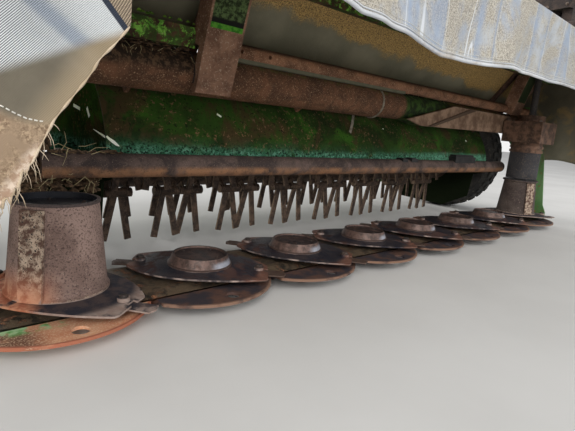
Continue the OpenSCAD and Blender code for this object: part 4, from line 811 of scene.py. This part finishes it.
def studio():
    """Pale floor, soft lamps and a pale background that only the camera and reflections see."""
    floor = new_mesh("floor", [(-30, -30, 0), (30, -30, 0), (30, 30, 0), (-30, 30, 0)], [(0, 1, 2, 3)], [])
    m = Mat("floor_pale", rough=0.9)
    colour = m.mix(m.blot(0.3, 0.7, 1.4, 4), (0.6, 0.59, 0.57), (0.66, 0.65, 0.63))
    floor.data.materials.append(m.finish(colour))
    world = bpy.data.worlds.new("studio")
    world.use_nodes = True
    tree = world.node_tree
    back = tree.nodes["Background"]
    back.inputs[0].default_value = (0.95, 0.97, 1.0, 1)
    back.inputs[1].default_value = 0.55
    seen = tree.nodes.new("ShaderNodeBackground")
    seen.inputs[0].default_value = (0.9, 0.9, 0.89, 1)
    seen.inputs[1].default_value = 1.0
    ray = tree.nodes.new("ShaderNodeLightPath")
    either = tree.nodes.new("ShaderNodeMath")
    either.operation = "MAXIMUM"
    mixer = tree.nodes.new("ShaderNodeMixShader")
    for source, socket in (
            (ray.outputs["Is Camera Ray"], either.inputs[0]),
            (ray.outputs["Is Glossy Ray"], either.inputs[1]),
            (either.outputs[0], mixer.inputs[0]), (back.outputs[0], mixer.inputs[1]),
            (seen.outputs[0], mixer.inputs[2]),
            (mixer.outputs[0], tree.nodes["World Output"].inputs[0])):
        tree.links.new(source, socket)
    bpy.context.scene.world = world
    for name, place, size, power, colour in LAMPS:
        data = bpy.data.lights.new(name, "AREA")
        data.shape = "SQUARE"
        data.size, data.energy, data.color = size, power, colour
        lamp = bpy.data.objects.new(name, data)
        lamp.location = place
        lamp.rotation_euler = (LAMPS_AIM - lamp.location).to_track_quat("-Z", "Y").to_euler()
        bpy.context.scene.collection.objects.link(lamp)
    bpy.context.scene.view_settings.view_transform = "Standard"


# Canvas: roof, front curtain and side curtains
SHEET_T = 0.003
RIDGE_Y, RIDGE_Z = ROW_Y + 0.11, ROOF_HIGH.z - 0.02
RAFTERS = [-1.78, -1.35, -0.898, 1.34, 1.74]
EAVES_Z = ROOF_LOW.z + 0.006


def between_rafters(x):
    """0 over a rafter, 1 in the middle of the widest bay."""
    for a, b in zip(RAFTERS, RAFTERS[1:]):
        if a <= x <= b:
            t = (x - a) / (b - a)
            return 4 * t * (1 - t) * min(1.0, (b - a) / 1.4)
    return 0.0


def wrinkle(x, y, scale, seed):
    """Smooth unevenness in -1 to 1 from a few fixed waves."""
    total = 0.0
    for k in range(5):
        a = seed * 1.7 + k * 2.399
        along = x * math.cos(a) + y * math.sin(a)
        total += math.sin(along * scale * (1 + 0.45 * k) + a * 3.1) / (1 + 0.6 * k)
    return total / 2.6


def ramp(value, low, high):
    """0 at low, 1 at high, straight between; low may be the larger."""
    return max(0.0, min(1.0, (value - low) / (high - low)))


def roof():
    """The top sheet, from the front edge over the ridge to the eaves, sagging between the rafters."""
    front, ridge, rear = (ROOF_LOW.y, ROOF_HIGH.z), (RIDGE_Y, RIDGE_Z), (ROOF_HIGH.y, EAVES_Z)
    rows = 30
    grid = []
    for x in np.linspace(ROOF_LOW.x, ROOF_HIGH.x, 181):
        line = []
        for k in range(rows + 1):
            t = k / rows * 1.6
            (y0, z0), (y1, z1), u = (front, ridge, t) if t < 1 else (ridge, rear, (t - 1) / 0.6)
            sag = between_rafters(x) * 4 * u * (1 - u) * 0.016
            ease = math.sin(math.pi * min(1.0, u))
            z = z0 + (z1 - z0) * u - sag + 0.0022 * wrinkle(x, y0 + u, 9, 2) * ease
            line.append((x, y0 + (y1 - y0) * u, z))
        grid.append(line)
    sheet = shell("canopy_sheet", grid, [CANVAS_OUT, LINING, HEM])
    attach(sheet, "root")
    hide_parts("canopy_top")


# Hem and seam of the front curtain, as x and z read from the photo
HEM_LINE = [
    (-1.8, 0.3), (-1.59, 0.367), (-1.558, 0.419), (-1.519, 0.492), (-1.471, 0.56), (-1.41, 0.64),
    (-1.404, 0.792), (-1.0, 0.79), (-0.986, 0.775), (-0.913, 0.761), (-0.728, 0.759), (-0.528, 0.734),
    (-0.286, 0.745), (0.022, 0.769), (0.655, 0.768), (1.2, 0.745), (1.8, 0.7)]
SEAM_LINE = [(-1.8, 0.572), (-1.68, 0.54), (-1.584, 0.506), (-1.569, 0.498), (-1.555, 0.492), (-1.536, 0.489),
             (-1.52, 0.493)]
FLAP_X = (-1.41, -1.404)  # where the torn end of the curtain meets the hemmed part
HEMMED_X, SEAM_END_X = -1.0, -1.536  # the hem starts at the first; the seam's stitches end at the second


def hem_height(x):
    """Height of the hem, ragged at the torn end."""
    xs, zs = zip(*HEM_LINE)
    torn = ramp(x, -1.545, -1.565)
    ragged = 0.0045 * math.sin(x * 610) + 0.006 * math.sin(x * 233 + 1.0) + 0.003 * math.sin(x * 1370)
    return float(np.interp(x, xs, zs)) + torn * ragged


def front_point(x, t):
    """A point of the front curtain: t is 0 at the roof's edge and 1 at the hem."""
    top, low = CURTAIN_HIGH.z, hem_height(x)
    z = top + (low - top) * t
    drop = top - z
    folds = 0.015 * math.sin(x * 8.3 + 0.9 * math.sin(x * 3.1))
    folds += 0.007 * math.sin(x * 17.9 + 1.3 + math.sin(x * 5))
    folds += 0.0022 * math.sin(x * 41 + 2 * math.sin(x * 6))
    idle = ramp(x, -0.95, -1.35)
    fold_x, fold_z, turn_x, turn_z = FOLD_LINE
    across = (x - fold_x) * turn_x + (z - fold_z) * turn_z
    soft = 0.014 * math.sin((x + z * 0.9) * 7 + 1) + 0.016 * math.exp(-(across / 0.022) ** 2)
    soft += 0.02 * ramp(z, 0.57, 0.49)
    hang = min(1.0, drop / 0.22)
    y = CURTAIN_LOW.y - 0.012 + hang * (folds * (1 - idle) + soft * idle + 0.004 * wrinkle(x, z, 22, 5))
    return (x, y, z)


def front_curtain():
    """The front sheet with its hem, frayed edge and stitches."""
    coarse, fine = np.linspace(CURTAIN_LOW.x, CURTAIN_HIGH.x, 261), np.linspace(-1.62, -1.38, 121)
    xs = sorted(set(np.round(np.concatenate([coarse, fine, FLAP_X]), 5)))
    rows = 40
    steps = [1 - 0.01 * min(1, k) - 0.99 * max(0, k - 1) / (rows - 1) for k in range(rows + 1)]
    grid = [[front_point(x, t) for t in steps] for x in xs]
    sheet = shell("front_curtain_sheet", grid, [CANVAS_OUT, CANVAS_IN, FRAYED])
    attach(sheet, "root")
    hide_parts("front_curtain")
    hem, edge = Bits(), Bits()
    hemmed = [x for x in xs if x >= HEMMED_X]
    for t, out, radius, sides in ((0.985, 0.0005, 0.0055, 8), (0.945, 0.0002, 0.0022, 6)):
        hem.tube([Vector(front_point(x, t)) - Vector((0, out, 0)) for x in hemmed], radius, sides)
    worn = [x for x in xs if x <= -1.412]
    edge.tube([front_point(x, 0.999) for x in worn], [0.0016 + 0.0007 * math.sin(x * 300) for x in worn], 6)
    rng = random.Random(7)
    for _ in range(34):
        p = Vector(front_point(rng.uniform(-1.6, -1.52), 1.0))
        drop = rng.uniform(0.008, 0.03)
        bend = Vector((rng.uniform(-0.008, 0.012), rng.uniform(-0.006, 0.006), -drop))
        thread = [p + Vector((0, 0, 0.002)), p + bend * 0.5 + Vector((0.002, 0, 0)), p + bend]
        edge.tube(thread, [0.0006, 0.0005, 0.0003], 4)
    rolled = hem.done("front_hem", HEM, "root", "canvas", smooth=True)
    frayed = edge.done("front_frayed_edge", FRAYED, "root", "canvas", smooth=True)
    stitches = Bits()

    def dash(p, q, size):
        off = Vector((0, -0.0006, 0))
        stitches.tube([p + off, (p + q) / 2 + off * 2.2, q + off], size, 5)

    for row_gap in (0.018, 0.026):
        for x in np.arange(HEMMED_X, CURTAIN_HIGH.x - 0.01, 0.0085):
            t = 1 - row_gap / (CURTAIN_HIGH.z - hem_height(x))
            dash(Vector(front_point(x, t)), Vector(front_point(x + 0.0052, t)), 0.0007)

    def seam(x):
        z = float(np.interp(x, *zip(*SEAM_LINE)))
        return Vector(front_point(x, (CURTAIN_HIGH.z - z) / (CURTAIN_HIGH.z - hem_height(x))))

    for x in np.arange(CURTAIN_LOW.x + 0.01, SEAM_END_X, 0.0068):
        dash(seam(x), seam(x + 0.004), 0.001)
    sewn = stitches.done("front_stitches", THREAD, "root", "canvas")


def side_curtains():
    """The two end sheets, drawn up under the eaves at the rear."""
    for side in (-1, 1):
        grid = []
        front, back = SIDES_LOW.y, SIDES_HIGH.y
        for y in np.linspace(front, back, 61):
            top = CURTAIN_HIGH.z + (RIDGE_Z - CURTAIN_HIGH.z) * min(1.0, (y - front) / (RIDGE_Y - front))
            if y > RIDGE_Y:
                top = RIDGE_Z + (EAVES_Z - RIDGE_Z) * (y - RIDGE_Y) / (back - RIDGE_Y)
            rise = max(0.0, y - back + 0.06) / 0.06 * 0.98
            low = SIDES_LOW.z + 0.01 * math.sin(y * 17) + rise * (top - SIDES_LOW.z)
            line = []
            for k in range(31):
                t = k / 30
                z = low + (top - low) * t
                hang = min(1.0, (top - z) / 0.25)
                fold = 0.006 * math.sin(y * 24) + 0.003 * wrinkle(y, z, 20, 3 + side)
                line.append((side * (SIDES_HIGH.x - 0.0025 + hang * fold), y, z))
            grid.append(line if side > 0 else line[::-1])
        name = "left" if side > 0 else "right"
        sheet = shell(f"side_curtain_{name}", grid, [CANVAS_OUT, CANVAS_IN, HEM])
        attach(sheet, "root")
        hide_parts("side_curtains")


def tyre(side):
    """A tyre's carcass and tread with the wheel's nuts; side is -1 for the right, 1 for the left wheel."""
    name = "left" if side > 0 else "right"
    hub = Vector(JOINTS[f"wheel_{name}_spin"]["pos_m"])

    def on_wheel(x, radius, t):
        return Vector((hub.x + x, hub.y + radius * math.cos(t), hub.z + radius * math.sin(t)))

    outer = hub.z
    bead = 0.2183
    deep = 0.011
    crown = [(-0.096, bead), (-0.112, 0.23), (-0.134, 0.265), (-0.14, 0.3), (-0.137, 0.33), (-0.126, 0.357),
             (-0.1, outer - 0.006 - deep), (-0.05, outer - 0.0015 - deep), (0.0, outer - deep)]
    profile = crown + [(-x, r) for x, r in crown[-2::-1]]
    profile += [(0.087, bead), (0.081, 0.1943), (-0.081, 0.1943), (-0.087, bead)]
    steps, count = 120, len(profile)
    verts, faces = [on_wheel(x, r, t) for t in ring_of(steps) for x, r in profile], []
    for k in range(steps):
        a, b = k * count, (k + 1) % steps * count
        faces += [(a + i, a + (i + 1) % count, b + (i + 1) % count, b + i) for i in range(count)]
    body = new_mesh(f"tyre_body_{name}", verts, faces, [RUBBER])
    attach(body, f"wheel_{name}")
    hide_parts(f"tyre_{name}")
    tread = Bits()

    def on_top(x, t, lift):
        r = outer - 0.006 * (abs(x) / 0.1) ** 2 - deep * (1 - lift)
        if abs(x) > 0.1:
            r -= (abs(x) - 0.1) / 0.026 * 0.022
        return on_wheel(x, r, t)

    pitches = 34
    lug_rows = ((-0.122, -0.068, 0.0, 0.62), (-0.06, -0.006, 0.5, 0.66), (0.006, 0.06, 0.0, 0.66),
                (0.068, 0.122, 0.5, 0.62))
    for k in range(pitches):
        for x0, x1, lag, wide in lug_rows:
            mid = 2 * math.pi * (k + lag) / pitches
            half = math.pi / pitches * wide
            skew = 0.25 * half * (1 if x0 > 0 else -1)
            corners = []
            for lift, shrink in ((-0.4, 1.0), (1.0, 0.86)):
                for x, s in ((x0, -1), (x1, -1), (x1, 1), (x0, 1)):
                    middle = (x0 + x1) / 2
                    t = mid + s * half * shrink + skew * (x - middle) / (x1 - x0) * 2
                    corners.append(on_top(middle + (x - middle) * shrink, t, lift))
            tread.add(corners, RING_BOX)
    for edge in (-1, 1):
        tread.tube([on_wheel(edge * 0.1395, 0.292, t) for t in ring_of(96)], 0.0022, 6, closed=True)
    lugs = tread.done(f"tyre_tread_{name}", RUBBER, f"wheel_{name}", "tyre_rubber")
    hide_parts(f"tyre_{name}")
    nuts = Bits()
    for t in ring_of(6, math.pi / 6):
        nuts.bolt(on_wheel(side * 0.04, 0.072, t), (side, 0, 0), 0.012, t)
    nuts.done(f"wheel_nuts_{name}", BOLT, f"wheel_{name}", "dark_steel")


def disc_bolts():
    """Bolts on the lids of the idle drum and the hats (the drive drum has none), and two for the knives."""
    for i, centre in enumerate(DISC_AT):
        bits = Bits()
        lid, ring, size, count = PLATE_Z + 0.026, 0.058, 0.0036, 4
        if i == 0:
            lid, ring, size = IDLE_DRUM_TOP - 0.016, 0.062, 0.0045
        elif i == DISCS - 1:
            count = 0
        for k in range(count):
            t = 2 * math.pi * (k + 0.3 * i) / count
            bits.bolt((centre.x + ring * math.cos(t), centre.y + ring * math.sin(t), lid), UP, size, k)
        for end in (0, 180):
            t = math.radians(DISC_TURN[i] + end)
            c, s = math.cos(t), math.sin(t)
            at = (centre.x + 0.182 * c + 0.014 * s, centre.y + 0.182 * s - 0.014 * c, PLATE_Z + 0.0015)
            bits.prism(at, UP, 0.011, 0.007)
        bits.done(f"disc_bolts_{i + 1}", STEEL, f"disc_{i + 1}", "dark_steel")


def ribbon(bits, points, normals, half, thick):
    """A flat band along points, `thick` along the normals; `half`, its half width, may be a tuple."""
    points, verts = [Vector(p) for p in points], []
    half = half if isinstance(half, tuple) else (half,) * len(points)
    for i, p in enumerate(points):
        along = points[min(i + 1, len(points) - 1)] - points[max(i - 1, 0)]
        n = Vector(normals[i]).normalized()
        side = along.cross(n).normalized()
        a, b = p + side * half[i], p - side * half[i]
        verts += [a, b, b + n * thick, a + n * thick]
    faces = [(3, 2, 1, 0), tuple(len(verts) - 4 + k for k in range(4))]
    for i in range(len(points) - 1):
        a, b = 4 * i, 4 * i + 4
        faces += [(a + k, a + (k + 1) % 4, b + (k + 1) % 4, b + k) for k in range(4)]
    bits.add(verts, faces)


def header(x, y, z):
    """A point given in metres from the middle of the disc row, ground height kept."""
    return Vector((x, ROW_Y + y, z))


def round_beam(x, radius, t):
    """A point round the main beam's axis, measured from the rear level."""
    return header(x, BEAM_Y + radius * math.cos(t), BEAM_Z + radius * math.sin(t))


def on_hood(x, angle, lift):
    """Point and outward normal on the hood's face; the angle is measured from the rear level."""
    a = math.radians(angle)
    out = Vector((0, math.cos(a), math.sin(a)))
    return header(x, HOOD_Y, HOOD_Z) + out * (HOOD_R + lift), out


def on_drawbar(x, y, z):
    """A point given along the drawbar: x sideways, -y towards the hitch."""
    c, s = math.cos(DRAW_ANGLE), math.sin(DRAW_ANGLE)
    return Vector((PIVOT_AT.x + x * c + y * s, PIVOT_AT.y - x * s + y * c, z))


def straws(bits, rng, low, high, count, size, thick):
    """Bent stalks at random places between two corners."""
    for _ in range(count):
        at = Vector([rng.uniform(a, b) for a, b in zip(low, high)])
        turn = Vector((rng.uniform(-1, 1), rng.uniform(-0.6, 0.6), rng.uniform(-1, 0.3))).normalized()
        turn = turn * size * rng.uniform(0.5, 1.2)
        bend = Vector((rng.uniform(-1, 1), rng.uniform(-1, 1), rng.uniform(-1, 1))) * size * 0.18
        bits.tube([at, at + turn * 0.5 + bend, at + turn], [thick, thick * 0.9, thick * 0.5], 4)


def clods(bits, rng, low, high, count, small, large):
    """Clods at random places between two corners."""
    for _ in range(count):
        at = [rng.uniform(a, b) for a, b in zip(low, high)]
        bits.lump(at, rng.uniform(small, large), rng.random(), rng.uniform(0.5, 0.9))


# Where crop remains lie: kind, lower corner, upper corner, number, smallest and largest size
CLODS = [
    ("soil", (-1.76, 0.194, 0.719), (-0.972, 0.21, 0.727), 190, 0.007, 0.012),
    ("soil", (-1.6, 0.15, 0.7), (-0.972, 0.162, 0.716), 90, 0.004, 0.011),
    ("soil", (-1.39, 0.166, 0.275), (-1.225, 0.215, 0.385), 130, 0.01, 0.019),
    ("soil", (-1.455, 0.135, 0.305), (-1.395, 0.19, 0.405), 110, 0.01, 0.02),
    ("soil", (-1.37, 0.135, 0.392), (-1.18, 0.165, 0.398), 50, 0.005, 0.011),
    ("moss", (-1.5, 0.13, 0.786), (-0.972, 0.137, 0.79), 60, 0.004, 0.008),
    ("moss", (-1.5, 0.15, 0.733), (-0.972, 0.19, 0.735), 120, 0.004, 0.009),
    ("moss", (-0.82, 0.196, 0.717), (-0.3, 0.216, 0.719), 60, 0.004, 0.008),
    ("moss", (-0.948, 0.15, 0.8), (-0.848, 0.16, 0.9), 60, 0.004, 0.008),
    ("soil", (-1.47, 0.15, 0.276), (-1.385, 0.19, 0.318), 120, 0.009, 0.016),
    ("soil", (-1.402, 0.14, 0.398), (-1.376, 0.18, 0.436), 50, 0.009, 0.014),
    ("soil", (-1.3, 0.16, 0.709), (-0.98, 0.192, 0.724), 220, 0.005, 0.009),
    ("soil", (-0.962, 0.16, 0.722), (-0.94, 0.196, 0.742), 40, 0.005, 0.009)]
# Straw: lower corner, upper corner, number, length, thickness
STALKS = [
    ((-1.46, 0.12, 0.3), (-1.24, 0.19, 0.41), 70, 0.055, 0.001),
    ((-1.5, 0.14, 0.735), (-0.972, 0.185, 0.74), 20, 0.035, 0.0008),
    ((-1.2, 0.14, 0.69), (-0.972, 0.15, 0.7), 12, 0.035, 0.0008),
    ((-0.8, 0.185, 0.722), (1.0, 0.2, 0.726), 60, 0.045, 0.0009)]


def crop_remains():
    """Crop dirt, moss and straw lying on the ledge, the beam and the lip tube."""
    rng = random.Random(11)
    heaps, straw = {"soil": Bits(), "moss": Bits()}, Bits()
    for kind, low, high, *rest in CLODS:
        clods(heaps[kind], rng, header(*low), header(*high), *rest)
    for low, high, *rest in STALKS:
        straws(straw, rng, header(*low), header(*high), *rest)
    heaps["soil"].done("crop_dirt_clods", SOIL, "root")
    heaps["moss"].done("moss_clumps", MOSS, "root")
    straw.done("crop_straws", STRAW, "root")


# Small holes: half width at each point, then y and z on the side sheet or x and angle on the hood
SIDE_HOLES = [
    (0.005, ((0.4788, 0.5206), (0.4155, 0.51))),
    (0.006, ((0.3501, 0.5155), (0.329, 0.4889))),
    ((0.0006, 0.002, 0.0032, 0.0034),
     ((0.2919, 0.4527), (0.2516, 0.4457), (0.2154, 0.4394), (0.193, 0.4356)))]
HOOD_HOLES = [
    ((0.0026, 0.0036, 0.0046, 0.0036, 0.0008),
     ((-1.219, 164.1), (-1.212, 165.3), (-1.2, 166.8), (-1.192, 167.9), (-1.184, 168.7))),
    (0.0036, ((-0.824, 147.5), (-0.808, 149.1))),
    (0.003, ((0.143, 146.4), (0.147, 146.9))),
    (0.0036, ((0.978, 151.0), (0.988, 151.8)))]


def holes_and_strap(strap, holes):
    """The strap that lies down the hood, and daylight seen through small holes."""
    line = [on_hood(-0.02 - 0.104 * k / 12, 131.0 + 21.6 * k / 12, 0.001) for k in range(13)]
    ribbon(strap, *zip(*line), 0.0065, 0.0025)
    for half, spots in SIDE_HOLES:
        ribbon(holes, [header(SIDE_SHEET_X, y, z) for y, z in spots], [(-1, 0, 0)] * len(spots), half, 0.0008)
    for half, spots in HOOD_HOLES:
        ribbon(holes, *zip(*[on_hood(x, angle, 0.0004) for x, angle in spots]), half, 0.0008)


def clamps_and_pipes(black, torn):
    """Clamps on the lip tube, two pipes behind the beam and a tear in the lining."""
    for x0, x1, high in ((0.738, 0.983, 0.036), (0.212, 0.255, 0.01), (0.29, 0.345, 0.012)):
        black.slab(header(x0, 0.124, 0.372), header(x1, 0.176, 0.392 + high * 0.7))
        black.slab(header(x0 + 0.012, 0.132, 0.38), header(x1 - 0.012, 0.168, 0.392 + high))
    pipe = [header(x, 0.288 + 0.004 * math.sin(x * 9), 0.724 + 0.003 * math.sin(x * 14))
            for x in np.linspace(0.3, 1.62, 45)]
    black.tube(pipe, 0.016, 10)
    black.tube([q + Vector((0, 0.02, 0.014)) for q in pipe], 0.01, 10)
    tear = ((1.062, 0.262, 0.786), (1.066, 0.213, 0.85), (1.13, 0.186, 0.888), (1.24, 0.166, 0.912))
    black.tube([header(*q) for q in tear], 0.002, 6)
    flap = ((1.34, 0.235, 0.815), (1.41, 0.222, 0.838), (1.5, 0.205, 0.862))
    ribbon(torn, [header(*q) for q in flap], [(0, -1, 0.4)] * 3, 0.006, 0.0015)


def header_bolts(bolts):
    """Bolts of the brackets, the end plates and the disc seats on the cutterbar."""
    for x in (-0.945, -0.851, 1.332, 1.418):
        bolts.bolt(header(x, 0.1225, 0.665), (0, -1, 0.3), 0.009, x)
    spots = ((0.15, 0.745), (0.262, 0.745), (0.265, 0.61), (0.175, 0.52), (-0.03, 0.14), (0.09, 0.14))
    for side in (-1, 1):
        for y, z in spots:
            bolts.bolt(header(side * (BEAM_END + 0.0125), y, z), (side, 0, 0), 0.01, y * 40)
    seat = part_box("cutterbar")[1].z - 0.001
    for centre in DISC_AT:
        for t in ring_of(6, math.pi / 6):
            at = (centre.x + 0.052 * math.cos(t), centre.y + 0.052 * math.sin(t), seat)
            bolts.prism(at, UP, 0.006, 0.005)


def header_trim():
    """Everything small that rides on the header, one piece for each material."""
    strap, holes, black, bolts, welds, torn = Bits(), Bits(), Bits(), Bits(), Bits(), Bits()
    holes_and_strap(strap, holes)
    clamps_and_pipes(black, torn)
    header_bolts(bolts)
    for x in (-0.964, -0.832, 1.31, 1.44):
        rng = random.Random(int(x * 1000))
        bead = [round_beam(x, 0.0695, math.pi - t) for t in np.linspace(-0.5, 1.2, 26)]
        welds.tube(bead, [0.0032 + rng.uniform(-0.0007, 0.0007) for _ in bead], 6)
    strap.tube([round_beam(0.015, 0.068, t) for t in ring_of(60)], 0.0052, 8, closed=True)
    strap.done("strap_and_sleeve_end", PALE_STEEL, "root", "dark_steel")
    holes.done("hood_holes", DAYLIGHT, "root")
    black.done("bands_and_pipes", BLACK, "root")
    torn.done("torn_lining", FRAYED, "root", "canvas")
    bolts.done("header_bolts", BOLT, "root", "dark_steel")
    welds.done("header_welds", STEEL, "root", "dark_steel", smooth=True)


def frame_trim():
    """Bolts of the frame's legs and gusset boxes and of the gear case, and the weld round the case."""
    bolts, welds = Bits(), Bits()
    plate_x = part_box("frame_legs")[1].x
    for side in (-1, 1):
        for y, z in ((0.4, 0.94), (0.47, 0.94), (0.4, 1.01), (0.47, 1.01)):
            bolts.bolt(header(side * plate_x, y, z), (side, 0, 0), 0.011, (y - 0.36) * 30)
    for x in (-0.6, 0.6):
        for y in (0.385, 0.415):
            for dx in (0.022, -0.022):
                bolts.bolt(header(x + dx, y, 1.05), UP, 0.01, y)
    for sx in (-1, 1):
        for sy in (-1, 1):
            bolts.bolt(header(GEAR_X + sx * 0.105, sy * 0.095, 0.66), UP, 0.009, sx + sy)
    edge = [header(GEAR_X + 0.0925 * math.cos(t), 0.0925 * math.sin(t), 0.5685) for t in ring_of(40)]
    welds.tube(edge, 0.003, 6, closed=True)
    bolts.done("frame_bolts", BOLT, "root", "dark_steel")
    welds.done("gear_case_weld", STEEL, "root", "dark_steel", smooth=True)


def drawbar_trim():
    """Bolts of the drawbar's head and hitch, and three pipes clamped along its side."""
    heads, pipes = Bits(), Bits()
    across = on_drawbar(1, 0, 0) - on_drawbar(0, 0, 0)
    for side in (-1, 1):
        for y in (-0.145, 0.09, -0.03):
            for z in (1.325, 1.455):
                heads.bolt(on_drawbar(side * 0.0948, y, z), across * side, 0.008, y * 20)
    hitch_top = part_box("hitch")[1].z - 0.0002
    for x in (-0.036, 0.036):
        for y in (-3.79, -3.73):
            heads.bolt(on_drawbar(x, y, hitch_top), UP, 0.009, y)
    pipe_x = -0.073
    for lane in (-0.045, -0.02, 0.005):
        line = [on_drawbar(pipe_x, y, DRAWBAR_Z + lane + 0.0015 * math.sin(y * 7 + lane * 90))
                for y in np.linspace(-0.3, DRAWBAR_BEND, 20)]
        for y in np.linspace(-0.85, -3.3, 40):
            fall = (y - DRAWBAR_BEND) * DRAWBAR_SLOPE
            line.append(on_drawbar(pipe_x, y, DRAWBAR_Z + lane + fall + 0.0015 * math.sin(y * 6)))
        pipes.tube(line, 0.0072, 8)
    for y in (-0.55, -1.2, -1.9, -2.6, -3.2):
        z = DRAWBAR_Z - 0.02 + min(0.0, (y - DRAWBAR_BEND) * DRAWBAR_SLOPE)
        turned = Matrix.Translation(on_drawbar(pipe_x - 0.0005, y, z)) @ Matrix.Rotation(-DRAW_ANGLE, 4, "Z")
        heads.slab((-0.006, -0.012, -0.046), (0.01, 0.012, 0.046), turned)
    heads.done("drawbar_bolts", BOLT, "drawbar", "dark_steel")
    pipes.done("drawbar_pipes", BLACK, "drawbar", smooth=True)


camera()
studio()
roof()
front_curtain()
side_curtains()
tyre(-1)
tyre(1)
disc_bolts()
crop_remains()
header_trim()
frame_trim()
drawbar_trim()
